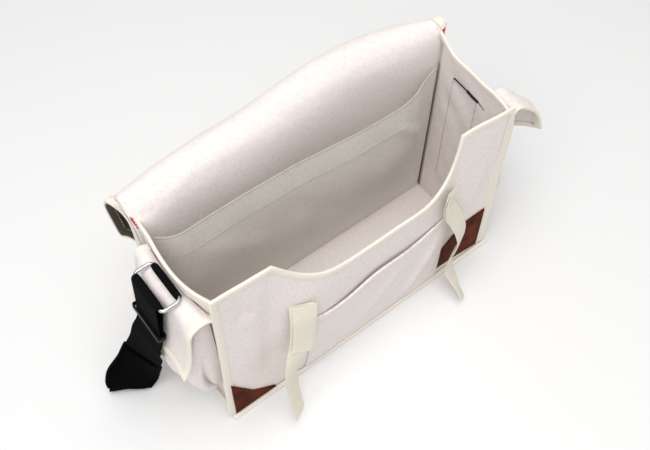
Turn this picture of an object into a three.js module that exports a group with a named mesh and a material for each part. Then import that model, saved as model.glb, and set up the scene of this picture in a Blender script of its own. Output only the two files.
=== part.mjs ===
// Messenger tool bag in canvas: an open box bag with its flap thrown back, two end pockets, two closing
// straps and a shoulder strap. Millimetres, +Z up; the bag stands on z = 0 and its front faces -Y.
import * as THREE from 'three';

// Driving dimensions.
const LENGTH = 400;
const DEPTH = 130;
const HEIGHT = 268;
const CLOTH = 2;
const LEATHER = 1.6;
const WEBBING = 1.8;
const TAPE = 0.9;
const GAP = 0.4;
const TAPE_GAP = 0.8;

// Seams: the cloth stands out past the corner as a flange, and tape is folded over its edge.
const FLANGE = 10;
const EDGE_LAP = 10;
const BASE_FLANGE = 4;
const BASE_LAP = 2.6;
const BASE_RIM_LIFT = 1.8;
const BASE_RIM_RAMP = 1.2;
const BASE_RIM_INSIDE = 2;
const WALL_FOOT = CLOTH + BASE_RIM_LIFT + GAP;
const FLANGE_FOOT = 6.8;
const TAPE_FOOT_SHARE = 0.004;
const TAPE_RISE_STEPS = 4;
const SEAM_STAND = CLOTH / 2 + TAPE_GAP + TAPE + 2 * GAP;

// The bag narrows a little to its front top edge and widens to its back one.
const END_X = LENGTH / 2 - 2;
const EDGE_X = LENGTH / 2 + FLANGE;
const WALL_Y = (DEPTH - CLOTH) / 2;
const BASE_EDGE_X = LENGTH / 2 + BASE_FLANGE;
const BASE_EDGE_Y = DEPTH / 2 + BASE_FLANGE;
const FRONT_TAPER = 0.025;
const BACK_FLARE = 0.019;

// Columns of the front's and back's cloth at the fold beside each flange, and at the flange's edge.
const FOLD_INSIDE = 1;
const FOLD_OUTSIDE = 0.5;
const SEAM_COLUMNS = [LENGTH / 2 - FOLD_INSIDE, LENGTH / 2 + FOLD_OUTSIDE, EDGE_X];
const FOLD_COLUMNS = SEAM_COLUMNS.length - 1;

// The front's form: how far it stands out half way up (belly) and along its top edge (rim).
const FRONT_SECTIONS = [
  { x: -200, belly: 0, rim: -4 },
  { x: -140, belly: 4, rim: 0 },
  { x: -95, belly: 14, rim: 4 },
  { x: -50, belly: 11, rim: 8 },
  { x: 10, belly: 7, rim: 9 },
  { x: 66, belly: 6, rim: 4 },
  { x: 100, belly: 5, rim: -3 },
  { x: 126, belly: 3, rim: -8 },
  { x: 200, belly: 0, rim: -4 },
];

// The scoop in the front's top edge, from its left horn to its right horn.
const FRONT_CORNER_TOP = 269;
const FRONT_ROWS = 6;
const HORN_COLUMNS = { left: [-165, -147], right: [140, 165] };
const SCOOP = [
  { x: -134, top: 271 },
  { x: -118, top: 251 },
  { x: -98, top: 233 },
  { x: -75, top: 220 },
  { x: -45, top: 212 },
  { x: 0, top: 209 },
  { x: 35, top: 207 },
  { x: 66, top: 204 },
  { x: 84, top: 205 },
  { x: 100, top: 212 },
  { x: 113, top: 226 },
  { x: 122, top: 248 },
  { x: 127, top: 270 },
];

// The ends: their top edges from the front seam (along = 0) to the back seam (along = 1), and their bow.
const END_TOPS = [
  { along: 0, left: 262, right: 264.5 },
  { along: 0.12, left: 263, right: 266.5 },
  { along: 0.35, left: 264, right: 268 },
  { along: 0.65, left: 262, right: 269 },
  { along: 0.85, left: 254, right: 271 },
  { along: 1, left: 247, right: 275.5 },
];
const END_LEAN_FRONT = -5;
const END_LEAN_BACK = 2.5;
const END_BOW = { left: 6, right: 1 };
const END_COLUMNS = 6;
const ROLL_STAND = 1.6;
const END_VS = [0, 0.35, 0.7, 0.9, 1];

// The back and flap in one: up the back, over in a soft roll, and down behind the bag.
// `lean` is the share of the row that follows the back's own bow and lift; the left and right columns are
// added at the flap's two ends, where the roll droops (left) or is drawn tight (right). `skew` moves the
// hanging part towards the right.
const BACK_ROLL = [
  { out: 0, z: WALL_FOOT, lean: 0, leftOut: 0, leftZ: 0, rightOut: 0, rightZ: 0, skew: 0 },
  { out: 0, z: 90, lean: 0.12, leftOut: 0, leftZ: 0, rightOut: 0, rightZ: 0, skew: 0 },
  { out: 0, z: 180, lean: 0.5, leftOut: 2, leftZ: 0, rightOut: 0, rightZ: 3, skew: 0 },
  { out: 0, z: 238, lean: 0.9, leftOut: 7, leftZ: 0, rightOut: 1, rightZ: 7, skew: 0 },
  { out: 5, z: 261, lean: 1, leftOut: 12, leftZ: -7, rightOut: -2, rightZ: 6, skew: 0 },
  { out: 15, z: 272, lean: 1, leftOut: 12, leftZ: -10, rightOut: -8, rightZ: 6, skew: 0 },
  { out: 28, z: 276, lean: 1, leftOut: 9, leftZ: -10, rightOut: -14, rightZ: 6, skew: 0 },
  { out: 41, z: 271, lean: 1, leftOut: 6, leftZ: -11, rightOut: -19, rightZ: 8, skew: 0 },
  { out: 50, z: 259, lean: 1, leftOut: 3, leftZ: -13, rightOut: -21, rightZ: 10, skew: 0 },
  { out: 52, z: 245, lean: 1, leftOut: 4, leftZ: -16, rightOut: -20, rightZ: 12, skew: 1 },
  { out: 47, z: 232, lean: 1, leftOut: 8, leftZ: -21, rightOut: -16, rightZ: 11, skew: 3 },
  { out: 37, z: 223, lean: 0.95, leftOut: 11, leftZ: -27, rightOut: -10, rightZ: 8, skew: 6 },
  { out: 26, z: 214, lean: 0.9, leftOut: 10, leftZ: -26, rightOut: -4, rightZ: 5, skew: 9 },
  { out: 18, z: 200, lean: 0.8, leftOut: 6, leftZ: -19, rightOut: 0, rightZ: 2, skew: 12 },
  { out: 13, z: 170, lean: 0.6, leftOut: 2, leftZ: -9, rightOut: 0, rightZ: 0, skew: 14 },
  { out: 11, z: 110, lean: 0.4, leftOut: 0, leftZ: 0, rightOut: 0, rightZ: 0, skew: 15 },
  { out: 11, z: 40, lean: 0.3, leftOut: 0, leftZ: 0, rightOut: 0, rightZ: 0, skew: 15 },
];
const BACK_RISE_ROWS = 6;
const BACK_SECTIONS = [
  { x: -199, bow: 0, lift: -4, left: 1, right: 0 },
  { x: -164, bow: 3, lift: -2, left: 0.3, right: 0 },
  { x: -103, bow: 5, lift: 4, left: 0, right: 0 },
  { x: -40, bow: 7, lift: 6, left: 0, right: 0 },
  { x: 26, bow: 12, lift: 11, left: 0, right: 0 },
  { x: 80, bow: 14, lift: 12, left: 0, right: 0 },
  { x: 123, bow: 12, lift: 11, left: 0, right: 0 },
  { x: 168, bow: 3, lift: 6, left: 0, right: 0.25 },
  { x: 199, bow: -3, lift: 5, left: 0, right: 1 },
];

// The divider: where its mouth stands, and how much of that stand each height keeps.
const DIVIDER_FOOT = 4;
const DIVIDER_TOP = 236;
const DIVIDER_BACK_Y = 60.5;
const DIVIDER_END_X = 196.5;
const DIVIDER_ROWS = 6;
const DIVIDER_MOUTH = [
  { x: -196, y: 57 },
  { x: -182, y: 47 },
  { x: -165, y: 43 },
  { x: -83, y: 45 },
  { x: 8, y: 41 },
  { x: 60, y: 37 },
  { x: 118, y: 36 },
  { x: 148, y: 41 },
  { x: 172, y: 52 },
  { x: 196, y: 59 },
];
const DIVIDER_REACH = [
  { z: DIVIDER_FOOT, reach: 0 },
  { z: 70, reach: 0.55 },
  { z: 140, reach: 1.1 },
  { z: 200, reach: 1.15 },
  { z: DIVIDER_TOP, reach: 1 },
];

// The slip pocket on the front.
const SLIP = { left: -100, right: 112, foot: 8, top: 150, gape: 3, stand: CLOTH + 1.5 * GAP };
const SLIP_COLUMNS = 8;
const SLIP_ROWS = 4;

// The leather triangles on the front's lower corners.
const PATCH_FOOT = 7.5;
const PATCH_EDGE_X = LENGTH / 2 - 2;
const PATCH_TIP = 2.5;
const PATCH_STEPS = 4;
const PATCH_STAND = (CLOTH + LEATHER) / 2 + 1.5 * GAP;
const PATCHES = [
  { name: 'left_corner_patch', side: -1, across: 62, up: 80 },
  { name: 'right_corner_patch', side: 1, across: 82, up: 84 },
];

// The closing straps: centre line from the sewn head to the loose tip; `turn` is the way their width points.
const CLOSING_WIDTH = 27;
const CLOSING_STEPS_PER_ROW = 2;
const CLOSING_STRAPS = {
  left_closing_strap: [
    { x: -108, y: -78, z: 194, turn: -20 },
    { x: -110, y: -82.6, z: 164, turn: -14 },
    { x: -113, y: -85, z: 136, turn: -10 },
    { x: -117, y: -87, z: 112, turn: -10 },
    { x: -124, y: -91, z: 90, turn: 2 },
    { x: -133, y: -95, z: 66, turn: 8 },
    { x: -138.5, y: -99, z: 44, turn: 20 },
    { x: -140, y: -106, z: 24, turn: 34 },
    { x: -143, y: -116, z: 14, turn: 40 },
  ],
  right_closing_strap: [
    { x: 112, y: -70.5, z: 188, turn: 16 },
    { x: 112, y: -75.5, z: 160, turn: 14 },
    { x: 121, y: -78, z: 134, turn: 22 },
    { x: 129, y: -82, z: 106, turn: 18 },
    { x: 126, y: -88, z: 84, turn: 28 },
    { x: 111, y: -92, z: 64, turn: 12 },
    { x: 114.5, y: -96, z: 44, turn: 36 },
    { x: 116, y: -105, z: 24, turn: 46 },
    { x: 115, y: -117, z: 14, turn: 52 },
  ],
};

// The end pockets: their plan as shares of depth and half width, and their depth at each height.
const POCKET_Y = -2;
const POCKET_HALF = 50;
const POCKET_STAND = CLOTH + GAP;
const POCKET_ROWS = 6;
const POCKET_PLAN = [
  { out: 0, across: -1 },
  { out: 0.36, across: -1 },
  { out: 0.52, across: -0.87 },
  { out: 0.7, across: -1.02 },
  { out: 0.94, across: -0.9 },
  { out: 1.02, across: -0.45 },
  { out: 1.05, across: 0 },
  { out: 1.02, across: 0.45 },
  { out: 0.94, across: 0.9 },
  { out: 0.7, across: 1.02 },
  { out: 0.52, across: 0.87 },
  { out: 0.36, across: 1 },
  { out: 0, across: 1 },
];
const POCKET_RISE = [
  { z: 64, left: 1.5, right: 1.5, width: 0.9 },
  { z: 70, left: 20, right: 13, width: 0.97 },
  { z: 84, left: 33, right: 25, width: 1 },
  { z: 112, left: 37, right: 32, width: 1.03 },
  { z: 145, left: 34, right: 29, width: 1.02 },
  { z: 175, left: 26, right: 20, width: 1 },
  { z: 205, left: 19, right: 9, width: 0.97 },
];

// The pocket flaps: their sections from the seam downwards, at places from the front edge to the back edge.
const FLAP_SEAM_Z = 240;
const FLAP_FRONT = -54;
const FLAP_BACK = 52;
const FLAP_LAP = 4.5;
const FLAP_PLACES = {
  left: [
    { at: 0, section: 'front' },
    { at: 0.24, section: 'mid' },
    { at: 0.72, section: 'mid' },
    { at: 1, section: 'back' },
  ],
  right: [
    { at: 0, section: 'front' },
    { at: 0.31, section: 'fore' },
    { at: 0.38, section: 'mid' },
    { at: 0.44, section: 'back' },
    { at: 1, section: 'back' },
  ],
};
const FLAP_US = {
  left: [0, 0.05, 0.14, 0.24, 0.5, 0.72, 0.82, 0.91, 0.96, 1],
  right: [0, 0.05, 0.16, 0.25, 0.31, 0.345, 0.38, 0.44, 0.7, 0.95, 1],
};
const POCKET_FLAPS = {
  left: [
    { frontOut: 3, frontZ: 236, midOut: 3, midZ: 237, backOut: 3, backZ: 236 },
    { frontOut: 11, frontZ: 241, midOut: 9, midZ: 240, backOut: 9, backZ: 239 },
    { frontOut: 21, frontZ: 240, midOut: 16, midZ: 239, backOut: 14, backZ: 237 },
    { frontOut: 29, frontZ: 233, midOut: 23, midZ: 234, backOut: 17, backZ: 229 },
    { frontOut: 32, frontZ: 221, midOut: 27, midZ: 222, backOut: 18.5, backZ: 217 },
    { frontOut: 34, frontZ: 204, midOut: 29, midZ: 205, backOut: 22, backZ: 202 },
    { frontOut: 37, frontZ: 185, midOut: 32, midZ: 187, backOut: 27, backZ: 186 },
    { frontOut: 42, frontZ: 169, midOut: 36, midZ: 171, backOut: 33, backZ: 173 },
    { frontOut: 48, frontZ: 160, midOut: 41, midZ: 161, backOut: 39, backZ: 164 },
  ],
  right: [
    { frontOut: 3, frontZ: 247, foreOut: 3, foreZ: 249, midOut: 3, midZ: 232, backOut: 3, backZ: 229 },
    { frontOut: 10, frontZ: 254, foreOut: 8, foreZ: 258, midOut: 6.4, midZ: 236, backOut: 6, backZ: 231 },
    { frontOut: 20, frontZ: 256, foreOut: 16, foreZ: 262, midOut: 10.4, midZ: 232, backOut: 9, backZ: 226 },
    { frontOut: 32, frontZ: 250, foreOut: 26, foreZ: 257, midOut: 15, midZ: 223, backOut: 12, backZ: 216 },
    { frontOut: 44, frontZ: 239, foreOut: 37, foreZ: 245, midOut: 20, midZ: 210, backOut: 16, backZ: 203 },
    { frontOut: 56, frontZ: 222, foreOut: 48, foreZ: 227, midOut: 26, midZ: 197, backOut: 21, backZ: 191 },
    { frontOut: 67, frontZ: 202, foreOut: 58, foreZ: 206, midOut: 34, midZ: 183, backOut: 28, backZ: 179 },
    { frontOut: 75, frontZ: 178, foreOut: 66, foreZ: 185, midOut: 42, midZ: 171, backOut: 36, backZ: 168 },
  ],
};

// The wire rings: the bar that the anchor holds and the bar that the strap holds, out from the end panel.
const WIRE = 4;
const WIRE_SIDES = 8;
const RING_BEND = 5;
const RING_BEND_STEPS = 4;
const RING_HALF = 27;
const RINGS = {
  left: { y: -1, innerOut: 9, innerZ: 247, outerOut: 31, outerZ: 245, rootZ: 249 },
  right: { y: 18, innerOut: 9.5, innerZ: 239, outerOut: 20.5, outerZ: 215, rootZ: 247 },
};

// The anchors: doubled webbing folded round the ring's inner bar and sewn to the end panel.
const ANCHOR_WIDTH = 46;
const ANCHOR_ROOT = 3.2;
const ANCHOR_EYE = WIRE / 2 + GAP;
const ANCHOR_ROUND_STEPS = 6;

// The shoulder strap: from its sewn end over the left ring, down to the floor, round behind the bag and up
// to the right ring. `turn` is the way its width points, seen from above.
const STRAP_WIDTH = 47;
const STRAP_LOOP = WIRE / 2 + 2 * GAP + WEBBING / 2;
const STRAP_LOOP_STEPS = 4;
const STRAP_STEPS_PER_ROW = 3;
const STRAP_LEFT_TAIL = [
  { out: 41.4, z: 186, y: 0, turn: 90 },
  { out: 38.6, z: 207, y: -1, turn: 90 },
  { out: 36.6, z: 228, y: -1, turn: 90 },
];
const STRAP_LEFT_FALL = [
  { out: 30.6, z: 228, y: -1, turn: 90 },
  { out: 34.8, z: 207, y: -1, turn: 90 },
  { out: 37.8, z: 188, y: 0, turn: 90 },
  { out: 42.6, z: 170, y: 2, turn: 92 },
  { out: 48, z: 155, y: 4.6, turn: 95 },
];
const STRAP_FLAT_Z = 1.6;
const STRAP_FLOOR = [
  { x: -253.5, y: 9.4, z: 130, turn: 106 },
  { x: -259.5, y: 17, z: 104, turn: 116 },
  { x: -265.5, y: 26, z: 74, turn: 130 },
  { x: -274.5, y: 33.5, z: 46, turn: 143 },
  { x: -282.6, y: 37, z: 22, turn: 149 },
  { x: -286, y: 38, z: 9, turn: 150 },
  { x: -284.5, y: 44, z: 2.4, turn: 150 },
  { x: -275, y: 57, z: STRAP_FLAT_Z, turn: 132 },
  { x: -244, y: 77, z: STRAP_FLAT_Z, turn: 120 },
  { x: -194, y: 107, z: STRAP_FLAT_Z, turn: 116 },
  { x: -145, y: 125, z: STRAP_FLAT_Z, turn: 98 },
  { x: -60, y: 130, z: STRAP_FLAT_Z, turn: 90 },
  { x: 60, y: 130, z: STRAP_FLAT_Z, turn: 90 },
  { x: 160, y: 129, z: STRAP_FLAT_Z, turn: 86 },
  { x: 210, y: 118, z: STRAP_FLAT_Z, turn: 64 },
  { x: 245, y: 95, z: 2, turn: 54 },
  { x: 268, y: 70, z: 4, turn: 56 },
  { x: 280, y: 58, z: 15, turn: 60 },
  { x: 279, y: 51, z: 34, turn: 66 },
  { x: 269, y: 40, z: 75, turn: 76 },
  { x: 260, y: 28, z: 120, turn: 86 },
];
const STRAP_RIGHT_RISE = [
  { out: 53, z: 148, y: 21, turn: 90 },
  { out: 46.5, z: 169, y: 18, turn: 90 },
  { out: 35, z: 183, y: 18, turn: 90 },
  { out: 24.5, z: 197, y: 18, turn: 90 },
];
const STRAP_RIGHT_TAIL = [
  { out: 29.5, z: 204, y: 18, turn: 90 },
  { out: 38.5, z: 190, y: 18, turn: 90 },
];

// The padded sleeve on the strap: its width at rows of the strap's floor table, and its section.
const PAD_WIDTHS = [
  { row: 0.9, width: 52 },
  { row: 2, width: 53 },
  { row: 3.1, width: 61 },
  { row: 4, width: 57 },
  { row: 4.6, width: 52 },
];
const PAD_STEPS = 14;
const PAD_THICK = 9.5;
const PAD_EDGE = 2;
const PAD_SLOT_HALF = WEBBING / 2 + 6 * GAP;
const PAD_SLIT_HALF = 3;
const PAD_PLAY = 2 * GAP;

// The flat, black painted metal keeper round the strap and its sewn end.
const KEEPER = {
  out: 38.9, z: 196, halfThick: 4.2, bar: 1.6, length: 7, bend: 1.4, bendSteps: 1, play: 4 * GAP,
};

// Finishes.
const FINISHES = {
  canvas: { color: '#e6dcd8', roughness: 0.9, metalness: 0 },
  tape: { color: '#e4e0cf', roughness: 0.85, metalness: 0 },
  lining: { color: '#c9c7c3', roughness: 0.9, metalness: 0 },
  leather: { color: '#6e3217', roughness: 0.55, metalness: 0 },
  ecru: { color: '#dedcc6', roughness: 0.85, metalness: 0 },
  black: { color: '#15161a', roughness: 0.8, metalness: 0 },
  steel: { color: '#b9bcc0', roughness: 0.3, metalness: 1 },
  blackMetal: { color: '#1c1d20', roughness: 0.4, metalness: 0.6 },
};

const SIDES = { left: -1, right: 1 };
const lerp = THREE.MathUtils.lerp;
const vector = (x, y, z) => new THREE.Vector3(x, y, z);

// Smooth curve through the points (places, values), read at one place; it stays level past its ends.
function smoothCurve(places, values, at) {
  const last = places.length - 1;
  const place = THREE.MathUtils.clamp(at, places[0], places[last]);
  let i = 0;
  while (i < last - 1 && place > places[i + 1]) {
    i += 1;
  }
  const slope = (k) => {
    const before = Math.max(k - 1, 0);
    const after = Math.min(k + 1, last);
    return (values[after] - values[before]) / (places[after] - places[before]);
  };
  const span = places[i + 1] - places[i];
  const t = (place - places[i]) / span;
  const rise = t * t * (3 - 2 * t);
  const startPull = t * (1 - t) * (1 - t) * span * slope(i);
  const endPull = t * t * (t - 1) * span * slope(i + 1);
  return lerp(values[i], values[i + 1], rise) + startPull + endPull;
}

// Reads a table's column `name` where its column `key` is `at`.
function read(rows, key, name, at) {
  return smoothCurve(rows.map((row) => row[key]), rows.map((row) => row[name]), at);
}

// Reads a table's column `name` a share of the way down its rows.
function readRow(rows, name, share) {
  const last = rows.length - 1;
  return smoothCurve(rows.map((row, i) => i / last), rows.map((row) => row[name]), share);
}

// Evenly spaced shares from 0 to 1.
function shares(steps) {
  return Array.from({ length: steps + 1 }, (unused, i) => i / steps);
}

// Direction across a surface at a share of its width and height.
function surfaceNormal(surface, u, v) {
  const step = 0.001;
  const [left, right] = [Math.max(u - step, 0), Math.min(u + step, 1)];
  const [below, above] = [Math.max(v - step, 0), Math.min(v + step, 1)];
  const alongU = surface(right, v).sub(surface(left, v));
  const alongV = surface(u, above).sub(surface(u, below));
  return alongU.cross(alongV).normalize();
}

// Geometry from points and the triangles between them.
function solid(points, triangles) {
  const geometry = new THREE.BufferGeometry();
  const places = points.flatMap((point) => point.toArray());
  geometry.setAttribute('position', new THREE.Float32BufferAttribute(places, 3));
  geometry.setIndex(triangles.flat());
  geometry.computeVertexNormals();
  return geometry;
}

// A wall: the surface made `thick`, half to each side, and closed round its four edges.
function wall(surface, us, vs, thick) {
  const points = [];
  for (const half of [thick / 2, -thick / 2]) {
    for (const v of vs) {
      for (const u of us) {
        points.push(surface(u, v).addScaledVector(surfaceNormal(surface, u, v), half));
      }
    }
  }
  const columns = us.length;
  const rows = vs.length;
  const outer = (i, j) => j * columns + i;
  const inner = (i, j) => columns * rows + outer(i, j);
  const triangles = [];
  const quad = (a, b, c, d) => triangles.push([a, b, c], [a, c, d]);
  for (let j = 0; j + 1 < rows; j += 1) {
    for (let i = 0; i + 1 < columns; i += 1) {
      quad(outer(i, j), outer(i + 1, j), outer(i + 1, j + 1), outer(i, j + 1));
      quad(inner(i, j), inner(i, j + 1), inner(i + 1, j + 1), inner(i + 1, j));
    }
  }
  const count = (length) => Array.from({ length }, (unused, i) => i);
  const rim = [
    ...count(columns - 1).map((i) => [i, 0]),
    ...count(rows - 1).map((j) => [columns - 1, j]),
    ...count(columns - 1).map((i) => [columns - 1 - i, rows - 1]),
    ...count(rows - 1).map((j) => [0, rows - 1 - j]),
  ];
  rim.forEach((from, k) => {
    const to = rim[(k + 1) % rim.length];
    quad(inner(...from), inner(...to), outer(...to), outer(...from));
  });
  return solid(points, triangles);
}

// A tape, wire or sleeve: an outline of [across, out] points carried through stations and closed at its ends.
// A station may have an outline of its own, with as many points.
function sweep(outline, stations, closed = false) {
  const count = outline.length;
  const points = stations.flatMap(({ at, across, out, outline: own = outline }) => own.map(
    ([a, o]) => at.clone().addScaledVector(across, a).addScaledVector(out, o),
  ));
  const triangles = [];
  const spans = closed ? stations.length : stations.length - 1;
  for (let k = 0; k < spans; k += 1) {
    const next = (k + 1) % stations.length;
    for (let i = 0; i < count; i += 1) {
      const j = (i + 1) % count;
      triangles.push([k * count + i, k * count + j, next * count + i]);
      triangles.push([k * count + j, next * count + j, next * count + i]);
    }
  }
  if (!closed) {
    const flat = outline.map(([a, o]) => new THREE.Vector2(a, o));
    const end = (stations.length - 1) * count;
    for (const [a, b, c] of THREE.ShapeUtils.triangulateShape(flat, [])) {
      triangles.push([a, c, b], [end + a, end + b, end + c]);
    }
  }
  return solid(points, triangles);
}

// Stations along a surface's edge, walked anticlockwise; corners are mitred.
function edgeStations(surface, walk, closed = false) {
  const points = walk.map(([u, v]) => surface(u, v));
  const count = walk.length;
  const outward = (from, to, across) => points[to].clone().sub(points[from]).cross(across).normalize();
  return walk.map(([u, v], k) => {
    const across = surfaceNormal(surface, u, v);
    const before = closed ? (k + count - 1) % count : Math.max(k - 1, 0);
    const after = closed ? (k + 1) % count : Math.min(k + 1, count - 1);
    const first = before === k ? outward(k, after, across) : outward(before, k, across);
    const second = after === k ? outward(before, k, across) : outward(k, after, across);
    const mitre = 1 + first.dot(second);
    return { at: points[k], across, out: first.add(second).divideScalar(mitre) };
  });
}

// A tape folded over the edge of cloth: two legs that lap onto it and a fold just past its edge.
function tapeOutline(lap) {
  const inside = CLOTH / 2 + TAPE_GAP;
  const outside = inside + TAPE;
  const fold = TAPE_GAP + TAPE;
  return [
    [outside, -lap], [outside, fold], [-outside, fold], [-outside, -lap],
    [-inside, -lap], [-inside, TAPE_GAP], [inside, TAPE_GAP], [inside, -lap],
  ];
}

// A band of webbing along a table of rows with x, y, z and turn.
function bandFrame(rows) {
  const curve = new THREE.CatmullRomCurve3(rows.map(({ x, y, z }) => vector(x, y, z)));
  return (share) => {
    const at = curve.getPoint(share);
    const along = curve.getTangent(share);
    const turn = THREE.MathUtils.degToRad(readRow(rows, 'turn', share));
    const width = vector(Math.cos(turn), Math.sin(turn), 0);
    width.addScaledVector(along, -width.dot(along)).normalize();
    return { at, along, width };
  };
}

function band(rows, width, thick, steps) {
  const frame = bandFrame(rows);
  const surface = (u, v) => {
    const { at, width: across } = frame(v);
    return at.addScaledVector(across, (u - 0.5) * width);
  };
  return wall(surface, [0, 1], shares(steps), thick);
}

// The front: a point of its cloth at x and z, and its top edge.
function frontPoint(x, z) {
  const rise = z / HEIGHT;
  const belly = 4 * rise * (1 - rise) * read(FRONT_SECTIONS, 'x', 'belly', x);
  const rim = rise * rise * read(FRONT_SECTIONS, 'x', 'rim', x);
  return vector(x * (1 - FRONT_TAPER * rise), -WALL_Y - belly - rim, z);
}

function frontTop(x) {
  const left = SCOOP[0];
  const right = SCOOP[SCOOP.length - 1];
  if (x < left.x) {
    return lerp(left.top, FRONT_CORNER_TOP, (left.x - x) / (left.x + EDGE_X));
  }
  if (x > right.x) {
    return lerp(right.top, FRONT_CORNER_TOP, (x - right.x) / (EDGE_X - right.x));
  }
  return read(SCOOP, 'x', 'top', x);
}

// The seam flanges start a little higher than the walls, clear of the base's tape.
const wallFoot = (x) => (Math.abs(x) > LENGTH / 2 ? FLANGE_FOOT : WALL_FOOT);

function frontSurface(u, v) {
  const x = lerp(-EDGE_X, EDGE_X, u);
  return frontPoint(x, lerp(wallFoot(x), frontTop(x), v));
}

// Shares of the width for columns between the two seams, with the seams' own columns at both ends.
function columnShares(xs) {
  const columns = [...SEAM_COLUMNS.map((x) => -x).reverse(), ...xs, ...SEAM_COLUMNS];
  return columns.map((x) => (x + EDGE_X) / (2 * EDGE_X));
}

const SCOOP_COLUMNS = SCOOP.map((row) => row.x);
const FRONT_US = columnShares([...HORN_COLUMNS.left, ...SCOOP_COLUMNS, ...HORN_COLUMNS.right]);

// The back and flap: a point of its cloth at x, a share of the way up, over and down.
function backPoint(x, share) {
  const roll = (name) => readRow(BACK_ROLL, name, share);
  const form = (name) => read(BACK_SECTIONS, 'x', name, x);
  const lean = roll('lean');
  const ends = (part) => form('left') * roll(`left${part}`) + form('right') * roll(`right${part}`);
  const y = WALL_Y + roll('out') + lean * form('bow') + ends('Out');
  const z = roll('z') + lean * form('lift') + ends('Z');
  return vector(x * (1 + BACK_FLARE * lean) + roll('skew'), y, Math.max(z, wallFoot(x)));
}

const BACK_US = columnShares(BACK_SECTIONS.slice(1, -1).map((row) => row.x));
const BACK_VS = shares(BACK_ROLL.length - 1);
const backSurface = (u, v) => backPoint(lerp(-EDGE_X, EDGE_X, u), v);

// Where the back's cloth is at a height, at the end seams.
function backSeamY(z, side) {
  const last = BACK_ROLL.length - 1;
  const rise = shares(last).slice(0, BACK_RISE_ROWS).map((share) => backPoint(side * END_X, share));
  return smoothCurve(rise.map((point) => point.z), rise.map((point) => point.y), z);
}

// The ends: out from the middle of the bag at a share of the way back and a height.
function endOut(name, along, z) {
  const rise = z / HEIGHT;
  const lean = lerp(END_LEAN_FRONT, END_LEAN_BACK, along);
  return END_X + rise * (lean + END_BOW[name] * Math.sin(Math.PI * along));
}

function endSurface(name) {
  return (u, v) => {
    const z = lerp(WALL_FOOT, read(END_TOPS, 'along', name, u), v);
    const front = frontPoint(SIDES[name] * END_X, z).y + SEAM_STAND;
    const back = backSeamY(z, SIDES[name]) - SEAM_STAND - ROLL_STAND;
    return vector(SIDES[name] * endOut(name, u, z), lerp(front, back, u), z);
  };
}

// The outer face of an end panel at a place and height.
function endFace(name, y, z) {
  return endOut(name, (y + WALL_Y) / (2 * WALL_Y), z) + CLOTH / 2;
}

// The base: flat on the ground, with its flange lifted by the thickness of the tape below it.
function baseSurface(u, v) {
  const x = lerp(-BASE_EDGE_X, BASE_EDGE_X, u);
  const y = lerp(-BASE_EDGE_Y, BASE_EDGE_Y, v);
  const past = Math.max(Math.abs(x) - LENGTH / 2, Math.abs(y) - DEPTH / 2, 0);
  const rise = THREE.MathUtils.smoothstep(past, 0, BASE_RIM_RAMP);
  return vector(x, y, CLOTH / 2 + BASE_RIM_LIFT * rise);
}

function baseShares(half, edge) {
  const places = [-edge, -half - BASE_RIM_RAMP, -half, -half + BASE_RIM_INSIDE];
  const both = [...places, ...places.map((place) => -place).reverse()];
  return both.map((place) => (place + edge) / (2 * edge));
}

function basePanel() {
  const us = baseShares(LENGTH / 2, BASE_EDGE_X);
  const vs = baseShares(DEPTH / 2, BASE_EDGE_Y);
  return wall(baseSurface, us, vs, CLOTH);
}

function baseBinding() {
  const corners = [[0, 0], [1, 0], [1, 1], [0, 1]];
  return sweep(tapeOutline(BASE_LAP), edgeStations(baseSurface, corners, true), true);
}

// Tape up the right edge, along the top and down the left edge of a surface.
function archBinding(surface, us, vs, lap) {
  const right = vs.map((v) => [1, v]);
  const top = us.slice(1, -1).reverse().map((u) => [u, 1]);
  const left = [...vs].reverse().map((v) => [0, v]);
  return sweep(tapeOutline(lap), edgeStations(surface, [...right, ...top, ...left]));
}

const fromFoot = (vs) => vs.map((v) => Math.max(v, TAPE_FOOT_SHARE));

// The tape passes straight over the fold beside each flange.
function tapeShares(us) {
  const last = us.length - 1;
  return us.filter((u, i) => i === 0 || i === last || (i > FOLD_COLUMNS && i < last - FOLD_COLUMNS));
}

function frontBinding() {
  return archBinding(frontSurface, tapeShares(FRONT_US), fromFoot(shares(TAPE_RISE_STEPS)), EDGE_LAP);
}

function flapBinding() {
  return archBinding(backSurface, tapeShares(BACK_US), fromFoot(BACK_VS), EDGE_LAP);
}

function topBinding(name) {
  const walk = shares(END_COLUMNS).reverse().map((u) => [u, 1]);
  return sweep(tapeOutline(EDGE_LAP), edgeStations(endSurface(name), walk));
}

// The divider.
function dividerSurface(u, v) {
  const x = lerp(-DIVIDER_END_X, DIVIDER_END_X, u);
  const z = lerp(DIVIDER_FOOT, DIVIDER_TOP, v);
  const stand = DIVIDER_BACK_Y - read(DIVIDER_MOUTH, 'x', 'y', x);
  return vector(x, DIVIDER_BACK_Y - stand * read(DIVIDER_REACH, 'z', 'reach', z), z);
}

function dividerPanel() {
  const us = DIVIDER_MOUTH.map((row) => (row.x + DIVIDER_END_X) / (2 * DIVIDER_END_X));
  us[0] = 0;
  us[us.length - 1] = 1;
  return wall(dividerSurface, us, shares(DIVIDER_ROWS), CLOTH);
}

// The slip pocket: it lies on the front and gapes a little at its mouth.
function slipSurface(u, v) {
  const x = lerp(SLIP.left, SLIP.right, u);
  const z = lerp(SLIP.foot, SLIP.top, v);
  const gape = SLIP.gape * Math.sin(Math.PI * u) * v * v;
  return frontPoint(x, z).add(vector(0, -SLIP.stand - gape, 0));
}

// A leather triangle on a lower corner of the front, with a blunt tip.
function patchSurface({ side, across, up }) {
  return (u, v) => {
    const share = side < 0 ? u : 1 - u;
    const x = side * (PATCH_EDGE_X - across * share);
    const height = Math.max(up * (1 - share), PATCH_TIP);
    return frontPoint(x, PATCH_FOOT + height * v).add(vector(0, -PATCH_STAND, 0));
  };
}

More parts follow.
